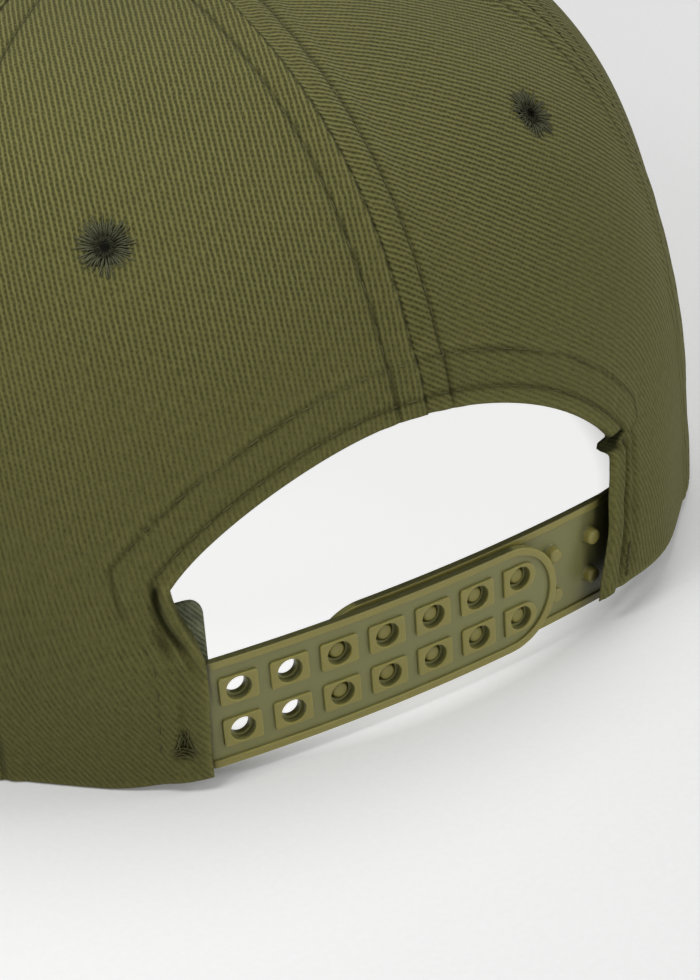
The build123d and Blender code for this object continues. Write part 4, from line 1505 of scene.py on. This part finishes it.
def metal_material():
    """Brushed steel."""
    made = Material("button_metal", 0.35, 0.5, {"Metallic": 1.0})
    grain = made.noise(made.body_place(), 1500.0, 3.0)
    made.feed("Base Color", made.mix(grain, (0.40, 0.40, 0.41), (0.58, 0.58, 0.59)))
    made.feed("Roughness", grain * 0.25 + 0.25)
    return made.made


def board_material():
    """The visor's pale plastic board."""
    made = Material("visor_board", 0.5, 0.4)
    grain = made.noise(made.body_place(), 400.0, 3.0)
    made.feed("Base Color", made.mix(grain, (0.68, 0.68, 0.66), (0.78, 0.78, 0.76)))
    made.bump(grain, 0.02)
    return made.made


# ---- stage -----------------------------------------------------------------------------

CAMERA_PLACE = Vector((0.1677, 0.3455, 0.2239))
CAMERA_AZIMUTH, CAMERA_ELEVATION, CAMERA_ROLL = 30.43, 30.79, -4.31
CAMERA_LENS = 84.05
WORLD_LIGHT = 0.40
LIGHTS = {      # place, what it points at, diameter, watts
    "key": ((-0.30, -0.30, 1.15), (0, 0.0, 0.06), 0.6, 6.2),
    "left": ((0.14, 0.09, 0.24), (0.05, 0.03, 0.10), 0.10, 0.34),
    "right": ((-1.1, 0.70, 0.70), (-0.02, 0.05, 0.02), 0.5, 5.4),
    "front": ((-0.45, 1.5, 0.55), (0, 0.03, 0.03), 0.7, 4.9),
}
FLOOR_HALF = 3.0      # metres
# The floor glows evenly everywhere; the extra glow within the crown is a painted pool of light, and under the
# visor the glow is taken away, a painted shade.
FLOOR_GLOW = 0.10, 0.74      # everywhere, and more within the crown


def placed(name, data, place, turn):
    """A camera or a light, turned so that it looks against its own +Z."""
    obj = linked(name, data)
    obj.matrix_world = Matrix.Translation(place) @ turn
    return obj


def add_camera():
    data = bpy.data.cameras.new("camera")
    data.lens, data.sensor_width = CAMERA_LENS, 36.0
    data.clip_start, data.clip_end = 0.01, 20.0
    azimuth, elevation = math.radians(CAMERA_AZIMUTH), math.radians(CAMERA_ELEVATION)
    back = Vector((math.sin(azimuth) * math.cos(elevation), math.cos(azimuth) * math.cos(elevation),
                   math.sin(elevation)))
    turn = back.to_track_quat("Z", "Y").to_matrix().to_4x4()
    roll = Matrix.Rotation(math.radians(CAMERA_ROLL), 4, "Z")
    bpy.context.scene.camera = placed("camera", data, CAMERA_PLACE, turn @ roll)


def add_light(name, place, target, size, power):
    data = bpy.data.lights.new(name, "AREA")
    data.shape, data.size, data.energy = "DISK", size, power
    turn = (Vector(place) - Vector(target)).to_track_quat("Z", "Y")
    placed(name, data, Vector(place), turn.to_matrix().to_4x4())


def floor_material():
    """Pale paper that glows: more within the crown, a painted pool of light that keeps it even where the back
    opening shows it, and none under the visor, a painted shade that keeps it dark there.
    """
    made = Material("floor_paper", 0.95, 0.1, {"Emission Color": (1, 1, 1)})
    grain = made.noise(made.body_place(), 900.0)
    made.feed("Base Color", made.mix(grain, (0.60, 0.60, 0.60), (0.64, 0.64, 0.64)))
    within = made.disc((0.0, 0.005), 0.081, 0.012)
    under = made.disc((0.0, -0.080), 0.068, 0.030)
    # painted light within the crown, painted shade under the visor
    glow = within * FLOOR_GLOW[1] + FLOOR_GLOW[0] - under * sum(FLOOR_GLOW)
    made.feed("Emission Strength", glow.math("MAXIMUM", 0.0))
    return made.made


def add_stage():
    half = FLOOR_HALF / MM
    corners = [(-half, -half, 0), (half, -half, 0), (half, half, 0), (-half, half, 0)]
    floor = mesh_object("floor", corners, [(0, 1, 2, 3)])
    floor.data.materials.append(floor_material())
    world = bpy.data.worlds.new("studio")
    bpy.context.scene.world = world
    world.use_nodes = True
    background = world.node_tree.nodes["Background"].inputs
    background[0].default_value, background[1].default_value = (1, 1, 1, 1), WORLD_LIGHT
    for name, light in LIGHTS.items():
        add_light(name, *light)
    bpy.context.scene.view_settings.view_transform = "Standard"


# ---- assembly --------------------------------------------------------------------------

FABRIC_DARK, FABRIC_BRIGHT = (0.036, 0.036, 0.009), (0.176, 0.169, 0.056)


def add_crown(twill, thread, eyelet_thread):
    for side in SIDES:
        for name in EYELETS:
            panel = dress(make_panel(name, side), twill, "cap", "twill", f"{name}_panel_{side}")
            width, long, area = panel_cut(name, side)
            dress(make_eyelet(name, side), eyelet_thread, "cap", "thread", f"{name}_eyelet_{side}")
        dress(make_bartack(side), thread, "cap", "thread", f"{side}_tab_bartack")
    add_crown_threads(thread)


SEWN_IN = 6.0      # allowance at each edge of a panel
ARCH_SHARE = 0.67      # how full the arch is above the tab's corner, of its box
VISOR_CUT = 17.0      # how much shorter a front panel is, on average, for the visor


def panel_cut(name, side):
    """Width, length and area of a panel's flat cut, in metres, with its sewing allowances."""
    _, span, radius = seam_span(name, side)
    net = float((span * radius * scale_at(np.linspace(0, TOP_LENGTH, 200))).mean()) * TOP_LENGTH
    if name == "back":
        corner_z, corner_x = TABS[side][-1]
        net -= abs(corner_x) * (corner_z + (ARCH_TOP - corner_z) * ARCH_SHARE)
    if name == "front":
        net -= span * radius * VISOR_CUT
    width, long = span * radius + 2 * SEWN_IN, TOP_LENGTH + 2 * SEWN_IN
    area = min(net + SEWN_IN * 2 * TOP_LENGTH, 0.98 * width * long)
    return width * MM, long * MM, area * MM * MM


def add_inner(tape, buckram, band, thread):
    add_tapes(tape, thread)
    for side in SIDES:
        piece = dress(make_stiffener(side), buckram, "cap", "buckram", f"front_stiffener_{side}")
    facing = dress(make_facing(), tape, "cap", "seam_tape", "arch_facing")
    piece = make_sweatband()
    dress(piece, band, "cap", "sweatband", "sweatband_cover", "sweatband_padding")
    sew("sweatband", sweatband_threads(), thread, 0.14)


def add_visor(twill, thread):
    for top, name in ((True, "visor_top_cover"), (False, "visor_under_cover")):
        piece = dress(make_visor_cover(f"{name}_cloth", top), twill, "cap", "twill", name)
        sew(name, visor_threads(top), thread)


def finish_cad_nodes():
    metal, board = metal_material(), board_material()
    for node, material in (("top_button_shell", metal), ("top_button_tack", metal), ("visor_board", board)):
        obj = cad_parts[node]
        obj.data.materials.clear()
        obj.data.materials.append(material)


def build():
    twill = twill_material("twill", FABRIC_DARK, FABRIC_BRIGHT, 0.88, 0.80, 0.20)
    band = twill_material("band_twill", (0.028, 0.032, 0.018), (0.270, 0.292, 0.175), 0.7, 0.6, 0.2)
    tape = twill_material("tape_weave", (0.040, 0.042, 0.016), (0.150, 0.150, 0.068), 0.8, 0.8, 0.15)
    thread = thread_material("thread", (0.030, 0.030, 0.010), (0.120, 0.116, 0.046))
    eyelet_thread = thread_material("eyelet_thread", (0.022, 0.023, 0.012), (0.110, 0.112, 0.060))
    add_crown(twill, thread, eyelet_thread)
    add_inner(tape, buckram_material(), band, thread)
    add_visor(twill, thread)
    button = dress(make_button(), twill, "cap", "twill", "top_button_cover")
    add_straps(plastic_material())
    finish_cad_nodes()


add_camera()
add_stage()
build()
